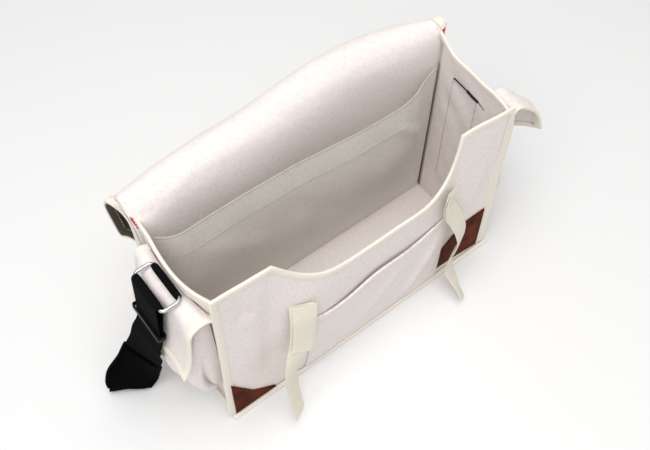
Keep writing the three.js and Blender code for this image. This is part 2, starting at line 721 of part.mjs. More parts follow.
// An end pocket: a pouch with a pleat in each side, closed below and open above.
function pocketSurface(name) {
  return (u, v) => {
    const z = readRow(POCKET_RISE, 'z', v);
    const depth = readRow(POCKET_RISE, name, v);
    const half = POCKET_HALF * readRow(POCKET_RISE, 'width', v);
    const y = POCKET_Y + half * readRow(POCKET_PLAN, 'across', u);
    const out = endFace(name, y, z) + POCKET_STAND + depth * readRow(POCKET_PLAN, 'out', u);
    return vector(SIDES[name] * out, y, z);
  };
}

// A pocket flap: its section changes from place to place between its front and back edges.
function pocketFlapSurface(name) {
  const rows = POCKET_FLAPS[name];
  return (u, v) => {
    const y = lerp(FLAP_FRONT, FLAP_BACK, u);
    const column = (part) => smoothCurve(
      FLAP_PLACES[name].map((place) => place.at),
      FLAP_PLACES[name].map((place) => readRow(rows, place.section + part, v)),
      u,
    );
    return vector(SIDES[name] * (endFace(name, y, FLAP_SEAM_Z) + column('Out')), y, column('Z'));
  };
}

// Stations round a rectangle with rounded corners: half sizes along two directions, about a centre.
function loopStations(centre, wide, deep, halfWide, halfDeep, bend, steps) {
  const across = wide.clone().cross(deep);
  const corners = [[1, 1, 0], [-1, 1, 90], [-1, -1, 180], [1, -1, 270]];
  return corners.flatMap(([w, d, start]) => shares(steps).map((share) => {
    const angle = THREE.MathUtils.degToRad(start + 90 * share);
    const out = wide.clone().multiplyScalar(Math.cos(angle)).addScaledVector(deep, Math.sin(angle));
    const at = centre.clone().addScaledVector(out, bend);
    at.addScaledVector(wide, w * (halfWide - bend));
    at.addScaledVector(deep, d * (halfDeep - bend));
    return { at, across, out };
  }));
}

// A ring's two bars, seen along Y, as points out from the end panel.
const ringFace = (name) => endFace(name, RINGS[name].y, FLAP_SEAM_Z);
const atRing = (name, out, z) => vector(SIDES[name] * (ringFace(name) + out), RINGS[name].y, z);

function ring(name) {
  const { innerOut, innerZ, outerOut, outerZ } = RINGS[name];
  const inner = atRing(name, innerOut, innerZ);
  const outer = atRing(name, outerOut, outerZ);
  const deep = outer.clone().sub(inner);
  const halfDeep = deep.length() / 2;
  const centre = inner.clone().add(outer).divideScalar(2);
  const section = shares(WIRE_SIDES).slice(1).map((share) => {
    const angle = 2 * Math.PI * share;
    return [Math.cos(angle) * WIRE / 2, Math.sin(angle) * WIRE / 2];
  });
  const stations = loopStations(
    centre, vector(0, 1, 0), deep.normalize(), RING_HALF, halfDeep, RING_BEND, RING_BEND_STEPS,
  );
  return sweep(section, stations, true);
}

// An anchor: webbing doubled round the ring's inner bar, with an eye for the bar.
function anchor(name) {
  const { innerOut, innerZ, rootZ } = RINGS[name];
  const root = atRing(name, ANCHOR_ROOT, rootZ);
  const bar = atRing(name, innerOut, innerZ);
  const along = bar.clone().sub(root);
  const reach = along.length();
  along.normalize();
  const round = ANCHOR_EYE + WEBBING;
  const outline = new THREE.Shape();
  outline.moveTo(0, WEBBING);
  outline.lineTo(reach, round);
  outline.absarc(reach, 0, round, Math.PI / 2, -Math.PI / 2, true);
  outline.lineTo(0, -WEBBING);
  outline.closePath();
  outline.holes.push(new THREE.Path().absarc(reach, 0, ANCHOR_EYE, 0, 2 * Math.PI, false));
  const form = { depth: ANCHOR_WIDTH, bevelEnabled: false, curveSegments: ANCHOR_ROUND_STEPS };
  const geometry = new THREE.ExtrudeGeometry(outline, form);
  geometry.translate(0, 0, -ANCHOR_WIDTH / 2);
  const width = vector(0, 1, 0);
  const frame = new THREE.Matrix4().makeBasis(along, width.clone().cross(along), width);
  return geometry.applyMatrix4(frame.setPosition(root));
}

// Rows of the strap round a ring's outer bar, from one angle to the other in its side view.
function strapLoop(name, from, to) {
  const { y, outerOut, outerZ } = RINGS[name];
  return shares(STRAP_LOOP_STEPS).map((share) => {
    const angle = THREE.MathUtils.degToRad(lerp(from, to, share));
    const out = outerOut + STRAP_LOOP * Math.cos(angle);
    return { out, z: outerZ + STRAP_LOOP * Math.sin(angle), y, turn: 90 };
  });
}

// Rows measured out from an end panel, as rows with x.
function placed(name, rows) {
  return rows.map(({ out, ...row }) => ({ x: SIDES[name] * (ringFace(name) + out), ...row }));
}

const STRAP_START = placed('left', [...STRAP_LEFT_TAIL, ...strapLoop('left', 0, 180), ...STRAP_LEFT_FALL]);
const STRAP_END = placed('right', [...STRAP_RIGHT_RISE, ...strapLoop('right', 180, 0), ...STRAP_RIGHT_TAIL]);
const STRAP_ROWS = [...STRAP_START, ...STRAP_FLOOR, ...STRAP_END];
const STRAP_STEPS = STRAP_STEPS_PER_ROW * (STRAP_ROWS.length - 1);

// The sleeve: a flat tube with a slit along its inner face, round the strap.
function padSection(width) {
  const half = width / 2;
  const deep = PAD_THICK / 2;
  const slot = STRAP_WIDTH / 2 + PAD_PLAY;
  return [
    [-deep, -PAD_SLIT_HALF], [-deep, PAD_EDGE - half], [PAD_EDGE - deep, -half], [deep - PAD_EDGE, -half],
    [deep, PAD_EDGE - half], [deep, half - PAD_EDGE], [deep - PAD_EDGE, half], [PAD_EDGE - deep, half],
    [-deep, half - PAD_EDGE], [-deep, PAD_SLIT_HALF], [-PAD_SLOT_HALF, PAD_SLIT_HALF], [-PAD_SLOT_HALF, slot],
    [PAD_SLOT_HALF, slot], [PAD_SLOT_HALF, -slot], [-PAD_SLOT_HALF, -slot], [-PAD_SLOT_HALF, -PAD_SLIT_HALF],
  ];
}

function shoulderPad() {
  const frame = bandFrame(STRAP_ROWS);
  const first = PAD_WIDTHS[0].row;
  const last = PAD_WIDTHS[PAD_WIDTHS.length - 1].row;
  const stations = shares(PAD_STEPS).map((share) => {
    const row = lerp(first, last, share);
    const { at, along, width } = frame((STRAP_START.length + row) / (STRAP_ROWS.length - 1));
    const outline = padSection(read(PAD_WIDTHS, 'row', 'width', row));
    return { at, across: width.clone().cross(along), out: width, outline };
  });
  return sweep(stations[0].outline, stations);
}

function strapKeeper() {
  const high = STRAP_LEFT_FALL[1];
  const low = STRAP_LEFT_FALL[2];
  const down = atRing('left', low.out, low.z).sub(atRing('left', high.out, high.z)).normalize();
  const wide = vector(0, 1, 0);
  const deep = down.clone().cross(wide);
  const halfWide = STRAP_WIDTH / 2 + KEEPER.play + KEEPER.bar / 2;
  const long = KEEPER.length / 2;
  const thick = KEEPER.bar / 2;
  const section = [[-long, -thick], [long, -thick], [long, thick], [-long, thick]];
  const centre = atRing('left', KEEPER.out, KEEPER.z);
  return sweep(
    section,
    loopStations(centre, wide, deep, halfWide, KEEPER.halfThick, KEEPER.bend, KEEPER.bendSteps),
    true,
  );
}

// The assembly.
const bag = new THREE.Group();

function add(name, geometry, finish) {
  const mesh = new THREE.Mesh(geometry, new THREE.MeshStandardMaterial(FINISHES[finish]));
  mesh.name = name;
  bag.add(mesh);
}

add('base_panel', basePanel(), 'canvas');
add('base_binding', baseBinding(), 'tape');
add('front_panel', wall(frontSurface, FRONT_US, shares(FRONT_ROWS), CLOTH), 'canvas');
add('front_binding', frontBinding(), 'tape');
add('back_flap_panel', wall(backSurface, BACK_US, BACK_VS, CLOTH), 'canvas');
add('flap_binding', flapBinding(), 'tape');
add('divider_panel', dividerPanel(), 'lining');
add('front_pocket_panel', wall(slipSurface, shares(SLIP_COLUMNS), shares(SLIP_ROWS), CLOTH), 'canvas');

for (const patch of PATCHES) {
  const steps = shares(PATCH_STEPS);
  add(patch.name, wall(patchSurface(patch), steps, steps, LEATHER), 'leather');
}
for (const [name, rows] of Object.entries(CLOSING_STRAPS)) {
  add(name, band(rows, CLOSING_WIDTH, WEBBING, CLOSING_STEPS_PER_ROW * (rows.length - 1)), 'ecru');
}
for (const name of Object.keys(SIDES)) {
  const pouch = pocketSurface(name);
  const pouchUs = shares(POCKET_PLAN.length - 1);
  const flap = pocketFlapSurface(name);
  const flapUs = FLAP_US[name];
  const flapVs = shares(POCKET_FLAPS[name].length - 1);
  add(`${name}_end_panel`, wall(endSurface(name), shares(END_COLUMNS), END_VS, CLOTH), 'canvas');
  add(`${name}_top_binding`, topBinding(name), 'tape');
  add(`${name}_pocket`, wall(pouch, pouchUs, shares(POCKET_ROWS), CLOTH), 'canvas');
  add(`${name}_pocket_flap`, wall(flap, flapUs, flapVs, CLOTH), 'canvas');
  add(`${name}_pocket_flap_binding`, archBinding(flap, flapUs, flapVs, FLAP_LAP), 'tape');
  add(`${name}_anchor`, anchor(name), 'black');
  add(`${name}_ring`, ring(name), 'steel');
}
add('shoulder_strap', band(STRAP_ROWS, STRAP_WIDTH, WEBBING, STRAP_STEPS), 'black');
add('shoulder_pad', shoulderPad(), 'black');
add('strap_keeper', strapKeeper(), 'blackMetal');

export default bag;
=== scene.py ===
import math

import bpy
import numpy as np
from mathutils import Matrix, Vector


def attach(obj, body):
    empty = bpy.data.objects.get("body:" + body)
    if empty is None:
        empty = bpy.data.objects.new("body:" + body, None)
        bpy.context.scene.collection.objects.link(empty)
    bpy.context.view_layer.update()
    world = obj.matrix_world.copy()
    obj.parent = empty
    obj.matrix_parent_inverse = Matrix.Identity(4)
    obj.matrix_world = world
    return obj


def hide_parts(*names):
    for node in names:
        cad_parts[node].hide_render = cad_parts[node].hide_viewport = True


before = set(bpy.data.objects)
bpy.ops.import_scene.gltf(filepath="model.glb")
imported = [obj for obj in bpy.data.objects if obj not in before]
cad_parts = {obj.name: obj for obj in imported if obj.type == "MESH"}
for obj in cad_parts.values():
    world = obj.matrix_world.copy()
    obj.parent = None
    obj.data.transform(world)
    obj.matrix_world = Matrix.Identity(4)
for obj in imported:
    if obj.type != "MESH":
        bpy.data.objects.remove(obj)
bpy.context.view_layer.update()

# Studio: a pale floor under the bag, two big soft lamps above it and a white room all round.
# The camera stands at the bag's front left corner and looks down into the open mouth.
# Sizes here are metres and degrees.
scene = bpy.context.scene
scene.view_settings.view_transform = "Standard"

FLOOR_HALF = 6.0
FLOOR_BELOW = 0.0002
FLOOR_DARK = (0.80, 0.80, 0.80, 1)
FLOOR_LIGHT = (0.81, 0.81, 0.81, 1)
ROOM_COLOUR = (1.0, 0.99, 0.98, 1)
ROOM_STRENGTH = 0.5
LAMPS = {
    "key_lamp": {"place": (-1.1, -0.6, 2.2), "size": 1.6, "power": 24},
    "top_lamp": {"place": (-0.1, -0.3, 2.4), "size": 1.6, "power": 29},
}
LAMP_TARGET = Vector((0, 0, 0.1))
CAMERA_PLACE = (-0.3253, -0.4004, 0.9227)
CAMERA_HEADING = 52.42
CAMERA_PITCH = 56.36
CAMERA_LENS = 44.31
CAMERA_SENSOR = 36


def add(tree, kind, settings=None, **inputs):
    """Adds a node: settings are its own options; inputs are numbers, colours or links, by socket name."""
    made = tree.nodes.new(kind)
    for key, value in (settings or {}).items():
        setattr(made, key, value)
    for key, value in inputs.items():
        socket = next(s for s in made.inputs if key in (s.identifier, s.name.replace(" ", "_")))
        if isinstance(value, bpy.types.NodeSocket):
            tree.links.new(value, socket)
        else:
            socket.default_value = value
    return made


def new_finish(name):
    """An empty material and its node tree."""
    finish = bpy.data.materials.new(name)
    finish.use_nodes = True
    finish.node_tree.nodes.clear()
    return finish, finish.node_tree


def object_noise(tree, scale, detail):
    """Soft noise in the object's own space."""
    place = add(tree, "ShaderNodeTexCoord").outputs["Object"]
    return add(tree, "ShaderNodeTexNoise", Vector=place, Scale=scale, Detail=detail).outputs["Fac"]


def two_tone(tree, factor, dark, light, low=0.0, high=1.0):
    """Runs from a dark to a light colour as a factor goes from low to high."""
    ramp = add(tree, "ShaderNodeValToRGB", Fac=factor)
    for stop, position, colour in zip(ramp.color_ramp.elements, (low, high), (dark, light)):
        stop.position = position
        stop.color = colour
    return ramp.outputs["Color"]


def coat(tree, **looks):
    """Ends a material's tree with one shader that has the given looks."""
    shader = add(tree, "ShaderNodeBsdfPrincipled", **looks)
    add(tree, "ShaderNodeOutputMaterial", Surface=shader.outputs["BSDF"])


def floor_finish():
    """Pale matt paint with a very faint mottle."""
    finish, tree = new_finish("floor_paint")
    mottle = object_noise(tree, scale=3.0, detail=2.0)
    coat(tree, Base_Color=two_tone(tree, mottle, FLOOR_DARK, FLOOR_LIGHT), Roughness=0.9)
    return finish


floor_mesh = bpy.data.meshes.new("floor")
floor_ends = ((-1, -1), (1, -1), (1, 1), (-1, 1))
floor_corners = [(x * FLOOR_HALF, y * FLOOR_HALF, -FLOOR_BELOW) for x, y in floor_ends]
floor_mesh.from_pydata(floor_corners, [], [(0, 1, 2, 3)])
floor_mesh.materials.append(floor_finish())
floor = bpy.data.objects.new("floor", floor_mesh)
scene.collection.objects.link(floor)

room = bpy.data.worlds.new("room")
room.use_nodes = True
room.node_tree.nodes["Background"].inputs["Color"].default_value = ROOM_COLOUR
room.node_tree.nodes["Background"].inputs["Strength"].default_value = ROOM_STRENGTH
scene.world = room

for lamp_name, lamp in LAMPS.items():
    light = bpy.data.lights.new(lamp_name, "AREA")
    light.size = lamp["size"]
    light.energy = lamp["power"]
    lamp_object = bpy.data.objects.new(lamp_name, light)
    lamp_object.location = lamp["place"]
    lamp_object.rotation_euler = (LAMP_TARGET - lamp_object.location).to_track_quat("-Z", "Y").to_euler()
    scene.collection.objects.link(lamp_object)

heading = math.radians(CAMERA_HEADING)
pitch = math.radians(CAMERA_PITCH)
camera_data = bpy.data.cameras.new("camera")
camera_data.lens = CAMERA_LENS
camera_data.sensor_width = CAMERA_SENSOR
camera = bpy.data.objects.new("camera", camera_data)
camera.location = CAMERA_PLACE
look = Vector((math.cos(heading) * math.cos(pitch), math.sin(heading) * math.cos(pitch), -math.sin(pitch)))
camera.rotation_euler = look.to_track_quat("-Z", "Y").to_euler()
scene.collection.objects.link(camera)
scene.camera = camera

# Base: a rectangle of off-white cotton canvas, laid flat under the bag.
# Its edge is turned out as a narrow flange, where the walls and the tape are sewn on.
# From here on sizes are millimetres, and MM turns them into metres.
MM = 0.001
LENGTH = 400
DEPTH = 130
HEIGHT = 268
CLOTH = 2.0
BASE_FLANGE = 4
BASE_EDGE_X = LENGTH / 2 + BASE_FLANGE
BASE_EDGE_Y = DEPTH / 2 + BASE_FLANGE
BASE_RIM_LIFT = 1.8
BASE_RIM_RAMP = 1.2
BASE_FLAT_CLEAR = 2
BASE_ROWS = {"length": 40, "depth": 14}
CANVAS_LIGHT = (0.83, 0.765, 0.74, 1)
CANVAS_DARK = (0.70, 0.63, 0.605, 1)
# Painted shade: cloth whose shade attribute is 1 takes this dark colour in place of its own.
SHADE_COLOUR = (0.075, 0.061, 0.045, 1)
YARN = {"fine": 0.8, "detail": 1.5, "low": 0.74, "weave_share": 0.5}
WAVE_RADIANS = 20
SHARP_ANGLE = math.radians(50)


def combine(tree, operation, *values):
    """Adds, multiplies or otherwise joins numbers and links."""
    sockets = dict(zip(("Value", "Value_001", "Value_002"), values))
    return add(tree, "ShaderNodeMath", {"operation": operation}, **sockets).outputs[0]


def blend(tree, share, first, second):
    """A share of the way from one colour to another."""
    mix = add(tree, "ShaderNodeMix", {"data_type": "RGBA"}, Factor_Float=share, A_Color=first, B_Color=second)
    return next(s for s in mix.outputs if s.identifier == "Result_Color")


def flat_map(tree):
    """The piece's own flat map, in metres."""
    return add(tree, "ShaderNodeUVMap", {"uv_map": "cloth"}).outputs["UV"]


def streaks(tree, flat, scale, detail):
    """Noise that is stretched along the flat map."""
    stretched = add(tree, "ShaderNodeMapping", Vector=flat, Scale=scale).outputs["Vector"]
    return add(tree, "ShaderNodeTexNoise", Vector=stretched, Scale=1.0, Detail=detail).outputs["Fac"]


def bands(tree, flat, way, spacing, bend=0.0):
    """Even bands across the flat map, one for every `spacing` millimetres."""
    scale = 2 * math.pi / (WAVE_RADIANS * spacing * MM)
    wave = add(tree, "ShaderNodeTexWave", {"bands_direction": way}, Vector=flat, Scale=scale, Distortion=bend)
    return wave.outputs["Fac"]


def raised(tree, height, strength, distance):
    """Small relief over a height, `distance` millimetres high."""
    relief = add(tree, "ShaderNodeBump", Strength=strength, Distance=distance * MM, Height=height)
    return relief.outputs["Normal"]


def cloth_finish(name, light, dark, thread=1.0, slub=9.0, bump=0.35, sheen=0.15):
    """Plain-woven cloth: threads across and along its flat map, darkened to painted shade where its shade
    attribute is 1.
    """
    finish, tree = new_finish(name)
    flat = flat_map(tree)
    fine = 1 / (YARN["fine"] * thread * MM)
    long = 1 / (slub * MM)
    ways = ((fine, long, 1), (long, fine, 1))
    yarn = combine(tree, "ADD", *(streaks(tree, flat, way, YARN["detail"]) for way in ways))
    weave = combine(tree, "MULTIPLY", *(bands(tree, flat, way, thread) for way in ("X", "Y")))
    height = combine(tree, "MULTIPLY_ADD", weave, YARN["weave_share"], yarn)
    tint = two_tone(tree, yarn, dark, light, low=YARN["low"])
    soil = object_noise(tree, scale=11.0, detail=3.0)
    worn = add(tree, "ShaderNodeMapRange", Value=soil, From_Min=0.5, From_Max=0.8, To_Max=0.16)
    colour = blend(tree, worn.outputs["Result"], tint, dark)
    # Painted shade: the colour goes towards SHADE_COLOUR as the mesh's shade attribute rises to 1.
    shade = add(tree, "ShaderNodeAttribute", {"attribute_name": "shade"}).outputs["Fac"]
    coat(tree, Base_Color=blend(tree, shade, colour, SHADE_COLOUR), Roughness=0.92,
         Normal=raised(tree, height, bump, 0.3), Sheen_Weight=sheen, Specular_IOR_Level=0.25)
    return finish


def smooth_curve(places, values, at):
    """A smooth curve through values (numbers, or arrays like `at`) at places; level past its ends."""
    places = np.asarray(places, float)
    at = np.clip(np.asarray(at, float), places[0], places[-1])
    values = np.stack([np.broadcast_to(np.asarray(value, float), at.shape) for value in values])
    row = np.arange(len(places))
    before, after = np.maximum(row - 1, 0), np.minimum(row + 1, len(places) - 1)
    reach = (places[after] - places[before]).reshape((-1,) + (1,) * at.ndim)
    slope = (values[after] - values[before]) / reach
    i = np.clip(np.searchsorted(places, at) - 1, 0, len(places) - 2)
    span = places[i + 1] - places[i]
    t = (at - places[i]) / span
    low, high, leave, arrive = (
        np.take_along_axis(array, (i + k)[None], 0)[0] for array in (values, slope) for k in (0, 1))
    pull = t * (1 - t) ** 2 * span * leave + t * t * (t - 1) * span * arrive
    return low + (high - low) * t * t * (3 - 2 * t) + pull


def smooth_step(value, low, high):
    """0 below low, 1 above high, and an even rise between."""
    t = np.clip((value - low) / (high - low), 0, 1)
    return t * t * (3 - 2 * t)


def point(x, y, z):
    """Arrays of coordinates as an array of points."""
    return np.stack(np.broadcast_arrays(x, y, z), axis=-1).astype(float)


def unit(vectors):
    return vectors / np.linalg.norm(vectors, axis=-1, keepdims=True)


def even(count, clear=0.0):
    """Even shares from one edge to the other, clear of both by the same share."""
    return np.linspace(clear, 1 - clear, count)


def lay_out(surface, us, vs):
    """Points of a surface on a grid of shares."""
    return surface(*np.meshgrid(us, vs))


def run_lengths(points, axis):
    """Lengths along a grid's rows or columns, from its first edge."""
    steps = np.linalg.norm(np.diff(points, axis=axis), axis=-1)
    return np.concatenate([np.zeros_like(steps.take([0], axis)), np.cumsum(steps, axis)], axis)


def make_piece(name, vertices, faces, flat, finish):
    """A mesh object from vertices and a flat map in millimetres."""
    mesh = bpy.data.meshes.new(name)
    mesh.from_pydata((np.reshape(vertices, (-1, 3)) * MM).tolist(), [], [tuple(face) for face in faces])
    corner = np.empty(len(mesh.loops), np.int32)
    mesh.loops.foreach_get("vertex_index", corner)
    layer = mesh.uv_layers.new(name="cloth")
    layer.data.foreach_set("uv", (np.reshape(flat, (-1, 2))[corner] * MM).astype(np.float32).ravel())
    mesh.shade_smooth()
    mesh.set_sharp_from_angle(angle=SHARP_ANGLE)
    mesh.materials.append(finish)
    made = bpy.data.objects.new(name, mesh)
    scene.collection.objects.link(made)
    return made


def quads(lines, count, closed_across, closed_along):
    """Faces between neighbouring lines of `count` points each."""
    k = np.arange(lines if closed_along else lines - 1)
    i = np.arange(count if closed_across else count - 1)
    k, i = (array.ravel() for array in np.meshgrid(k, i, indexing="ij"))
    k_next = (k + 1) % lines
    j = (i + 1) % count
    return np.stack([k * count + i, k * count + j, k_next * count + j, k_next * count + i], axis=1)


def cloth_wall(name, points, thick, finish):
    """Cloth over a grid of points, made thick to both sides and closed round its edges."""
    rows, columns = points.shape[:2]
    normal = unit(np.cross(np.gradient(points, axis=1), np.gradient(points, axis=0)))
    half = np.broadcast_to(np.asarray(thick, float) / 2, (rows, columns))[..., None]
    flat = np.stack([run_lengths(points, 1), run_lengths(points, 0)], axis=-1)
    outer = quads(rows, columns, False, False)
    inner = outer[:, ::-1] + rows * columns
    grid = np.arange(rows * columns).reshape(rows, columns)
    rim = np.concatenate([grid[0, :-1], grid[:-1, -1], grid[-1, :0:-1], grid[:0:-1, 0]])
    to = np.roll(rim, -1)
    edge = np.stack([rim + rows * columns, to + rows * columns, to, rim], axis=1)
    vertices = np.concatenate([points + normal * half, points - normal * half])
    faces = np.concatenate([outer, inner, edge])
    return make_piece(name, vertices, faces, np.concatenate([flat, flat]), finish)


def base_surface(u, v):
    x = BASE_EDGE_X * (2 * u - 1)
    y = BASE_EDGE_Y * (2 * v - 1)
    past = np.maximum(np.abs(x) - LENGTH / 2, np.abs(y) - DEPTH / 2)
    return point(x, y, CLOTH / 2 + BASE_RIM_LIFT * smooth_step(past, 0, BASE_RIM_RAMP))


def base_shares(half, edge, rows):
    """Shares across the base, close together at its rim."""
    rim = [edge, half + BASE_RIM_RAMP, half + BASE_RIM_RAMP / 2, half]
    middle = np.linspace(BASE_FLAT_CLEAR - half, half - BASE_FLAT_CLEAR, rows)
    places = np.concatenate([np.negative(rim), middle, rim[::-1]])
    return (places + edge) / (2 * edge)


CANVAS = cloth_finish("canvas", CANVAS_LIGHT, CANVAS_DARK)
base_us = base_shares(LENGTH / 2, BASE_EDGE_X, BASE_ROWS["length"])
base_vs = base_shares(DEPTH / 2, BASE_EDGE_Y, BASE_ROWS["depth"])
base = cloth_wall("base", lay_out(base_surface, base_us, base_vs), CLOTH, CANVAS)
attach(base, "root")
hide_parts("base_panel")

# Base tape: cream cotton tape folded over the base's flange all the way round, mitred at the corners.
# A row of lockstitches holds both of its legs; each stitch is a short raised thread.
TAPE = 0.8
TAPE_PLAY = 0.15
TAPE_SEAM = {"sunk": 0.1, "lap_share": 0.72}
TAPE_RIPPLE = {"at": np.array((1, 0.93, 0.72, 0.45)), "rise": np.array((-0.25, 0.05, -0.18, 0.06))}
BASE_LAP = 2.6
FOLD_POINTS = 9
STATION_STEP = 3.0
EDGE_SAMPLES = 400
EDGE_STEP = 0.001
TAPE_LIGHT = (0.85, 0.80, 0.715, 1)
TAPE_DARK = (0.73, 0.675, 0.585, 1)
THREAD_COLOUR = (0.80, 0.75, 0.67, 1)
THREAD_DARK = 0.8
STITCH = {"pitch": 3.6, "length": 2.9, "width": 0.62}
STITCH_UNEVEN = (0.85, 1.1)


def thread_finish(name, colour):
    """Spun thread: fine twist along the object, slightly shiny."""
    finish, tree = new_finish(name)
    twist = object_noise(tree, scale=2200.0, detail=1.0)
    dark = tuple(THREAD_DARK * c for c in colour[:3]) + (1,)
    coat(tree, Base_Color=two_tone(tree, twist, dark, colour), Roughness=0.7,
         Normal=raised(tree, twist, 0.3, 0.1))
    return finish


def stitch_tree():
    """Geometry Nodes that lay one raised stitch at every pitch along each seam line."""
    tree = bpy.data.node_groups.new("seam_stitches", "GeometryNodeTree")
    sockets = {}
    for name, kind in (("Seam", "Geometry"), ("Pitch", "Float"), ("Stitch Length", "Float"),
                       ("Stitch Width", "Float"), ("Seed", "Int"), ("Thread", "Material")):
        socket = tree.interface.new_socket(name, in_out="INPUT", socket_type=f"NodeSocket{kind}")
        sockets[name] = socket.identifier
    tree.interface.new_socket("Stitches", in_out="OUTPUT", socket_type="NodeSocketGeometry")
    given = add(tree, "NodeGroupInput").outputs
    line = add(tree, "GeometryNodeMeshToCurve", Mesh=given["Seam"]).outputs["Curve"]
    places = add(tree, "GeometryNodeResampleCurve", {"mode": "LENGTH"}, Curve=line, Length=given["Pitch"])
    knot = add(tree, "GeometryNodeMeshUVSphere", Segments=6, Rings=4, Radius=0.5).outputs["Mesh"]
    along = add(tree, "GeometryNodeInputTangent").outputs["Tangent"]
    face = add(tree, "GeometryNodeInputNamedAttribute", {"data_type": "FLOAT_VECTOR"}, Name="face")
    turned = add(tree, "FunctionNodeAlignRotationToVector", {"axis": "X"}, Vector=along).outputs["Rotation"]
    stood = add(tree, "FunctionNodeAlignRotationToVector", {"axis": "Z", "pivot_axis": "X"}, Rotation=turned,
                Vector=face.outputs["Attribute"]).outputs["Rotation"]
    size = add(tree, "ShaderNodeCombineXYZ", X=given["Stitch Length"], Y=given["Stitch Width"],
               Z=given["Stitch Width"]).outputs["Vector"]
    smallest, largest = STITCH_UNEVEN
    uneven = add(tree, "FunctionNodeRandomValue", {"data_type": "FLOAT"}, Min_001=smallest, Max_001=largest,
                 Seed=given["Seed"])
    factor = next(s for s in uneven.outputs if s.identifier == "Value_001")
    scaled = add(tree, "ShaderNodeVectorMath", {"operation": "SCALE"}, Vector=size, Scale=factor)
    laid = add(tree, "GeometryNodeInstanceOnPoints", Points=places.outputs["Curve"], Instance=knot,
               Rotation=stood, Scale=scaled.outputs["Vector"]).outputs["Instances"]
    real = add(tree, "GeometryNodeRealizeInstances", Geometry=laid).outputs["Geometry"]
    round_off = add(tree, "GeometryNodeSetShadeSmooth", Geometry=real).outputs["Geometry"]
    done = add(tree, "GeometryNodeSetMaterial", Geometry=round_off, Material=given["Thread"])
    add(tree, "NodeGroupOutput", Stitches=done.outputs["Geometry"])
    return tree, sockets


STITCH_TREE, STITCH_SOCKETS = stitch_tree()
THREAD = thread_finish("cream_thread", THREAD_COLOUR)


def sew(name, seams, thread, seed, pitch=STITCH["pitch"], length=STITCH["length"], width=STITCH["width"]):
    """Stitches along seams, each an array of points and the array of ways that they face."""
    vertices = np.concatenate([points for points, faces in seams])
    facing = np.concatenate([np.broadcast_to(faces, points.shape) for points, faces in seams])
    starts = np.cumsum([0] + [len(points) for points, faces in seams])
    edges = [(i, i + 1) for a, b in zip(starts[:-1], starts[1:]) for i in range(a, b - 1)]
    mesh = bpy.data.meshes.new(name)
    mesh.from_pydata((vertices * MM).tolist(), edges, [])
    face = mesh.attributes.new("face", "FLOAT_VECTOR", "POINT")
    face.data.foreach_set("vector", facing.astype(np.float32).ravel())
    made = bpy.data.objects.new(name, mesh)
    scene.collection.objects.link(made)
    nodes = made.modifiers.new("stitches", "NODES")
    nodes.node_group = STITCH_TREE
    for key, value in (("Pitch", pitch * MM), ("Stitch Length", length * MM), ("Stitch Width", width * MM),
                       ("Seed", seed), ("Thread", thread)):
        nodes[STITCH_SOCKETS[key]] = value
    sewn = bpy.data.meshes.new_from_object(made.evaluated_get(bpy.context.evaluated_depsgraph_get()))
    made.modifiers.clear()
    made.data = sewn
    sewn.name = name
    return made


def edge_walk(surface, stops, clear):
    """Places (u, v) along a surface's edge through its stops, and how many stops each has passed."""
    walk, passed = [stops[0]], [0.0]
    for leg, (start, stop) in enumerate(zip(stops[:-1], stops[1:])):
        start, stop = np.array(start, float), np.array(stop, float)
        shares = even(EDGE_SAMPLES)
        line = surface(*(start[:, None] + (stop - start)[:, None] * shares))
        lengths = run_lengths(line, 0)
        steps = max(int((lengths[-1] - 2 * clear) / STATION_STEP), 2)
        spaced = np.interp(np.linspace(clear, lengths[-1] - clear, steps), lengths, shares)
        walk += [tuple(start + (stop - start) * share) for share in spaced] + [tuple(stop)]
        passed += [leg + share for share in spaced] + [leg + 1]
    return np.array(walk), np.array(passed)


def edge_stations(surface, walk, closed):
    """For each place on an edge: its point, the way across the cloth and the way out past its edge."""
    u, v = walk.T
    at = surface(u, v)
    step = EDGE_STEP
    along_u = surface(np.minimum(u + step, 1), v) - surface(np.maximum(u - step, 0), v)
    along_v = surface(u, np.minimum(v + step, 1)) - surface(u, np.maximum(v - step, 0))
    across = unit(np.cross(along_u, along_v))
    ahead = np.roll(at, -1, axis=0) - at
    if not closed:
        ahead[-1] = ahead[-2]
    behind = np.roll(ahead, 1, axis=0)
    if not closed:
        behind[0] = ahead[0]
    first = unit(np.cross(behind, across))
    second = unit(np.cross(ahead, across))
    out = (first + second) / (1 + np.sum(first * second, axis=-1, keepdims=True))
    return at, across, out


def tape_sides(laps, half):
    """Outer and inner outlines of a folded tape as (across, out), one of each for every lap."""
    fold = np.linspace(0, np.pi, FOLD_POINTS)
    bend = np.stack([np.cos(fold), np.sin(fold)], axis=1)
    rise = TAPE_RIPPLE["rise"]
    sides = []
    for reach, ripple in ((half + TAPE_PLAY + TAPE, rise), (half + TAPE_PLAY, 0 * rise)):
        across = np.broadcast_to(reach + ripple, (len(laps), len(rise)))
        leg = np.stack([across, -laps[:, None] * TAPE_RIPPLE["at"]], axis=-1)
        round_fold = np.broadcast_to(reach * bend, (len(laps),) + bend.shape)
        sides.append(np.concatenate([leg, round_fold, leg[:, ::-1] * (-1, 1)], axis=1))
    return sides


def sweep(name, sections, at, across, out, finish, closed=False):
    """A piece whose outline (one array of (across, out) for each station) follows the stations."""
    sections = np.broadcast_to(sections, (len(at),) + np.shape(sections)[-2:])
    count = sections.shape[1]
    vertices = at[:, None] + sections[..., :1] * across[:, None] + sections[..., 1:] * out[:, None]
    faces = [tuple(face) for face in quads(len(at), count, True, closed)]
    if not closed:
        end = (len(at) - 1) * count
        for i in range(count // 2 - 1):
            ring = (i, i + 1, count - 2 - i, count - 1 - i)
            faces += [ring[::-1], tuple(end + k for k in ring)]
    around = run_lengths(sections, 1)
    along = np.broadcast_to(run_lengths(at, 0)[:, None], around.shape)
    return make_piece(name, vertices, faces, np.stack([along, around], axis=-1), finish)


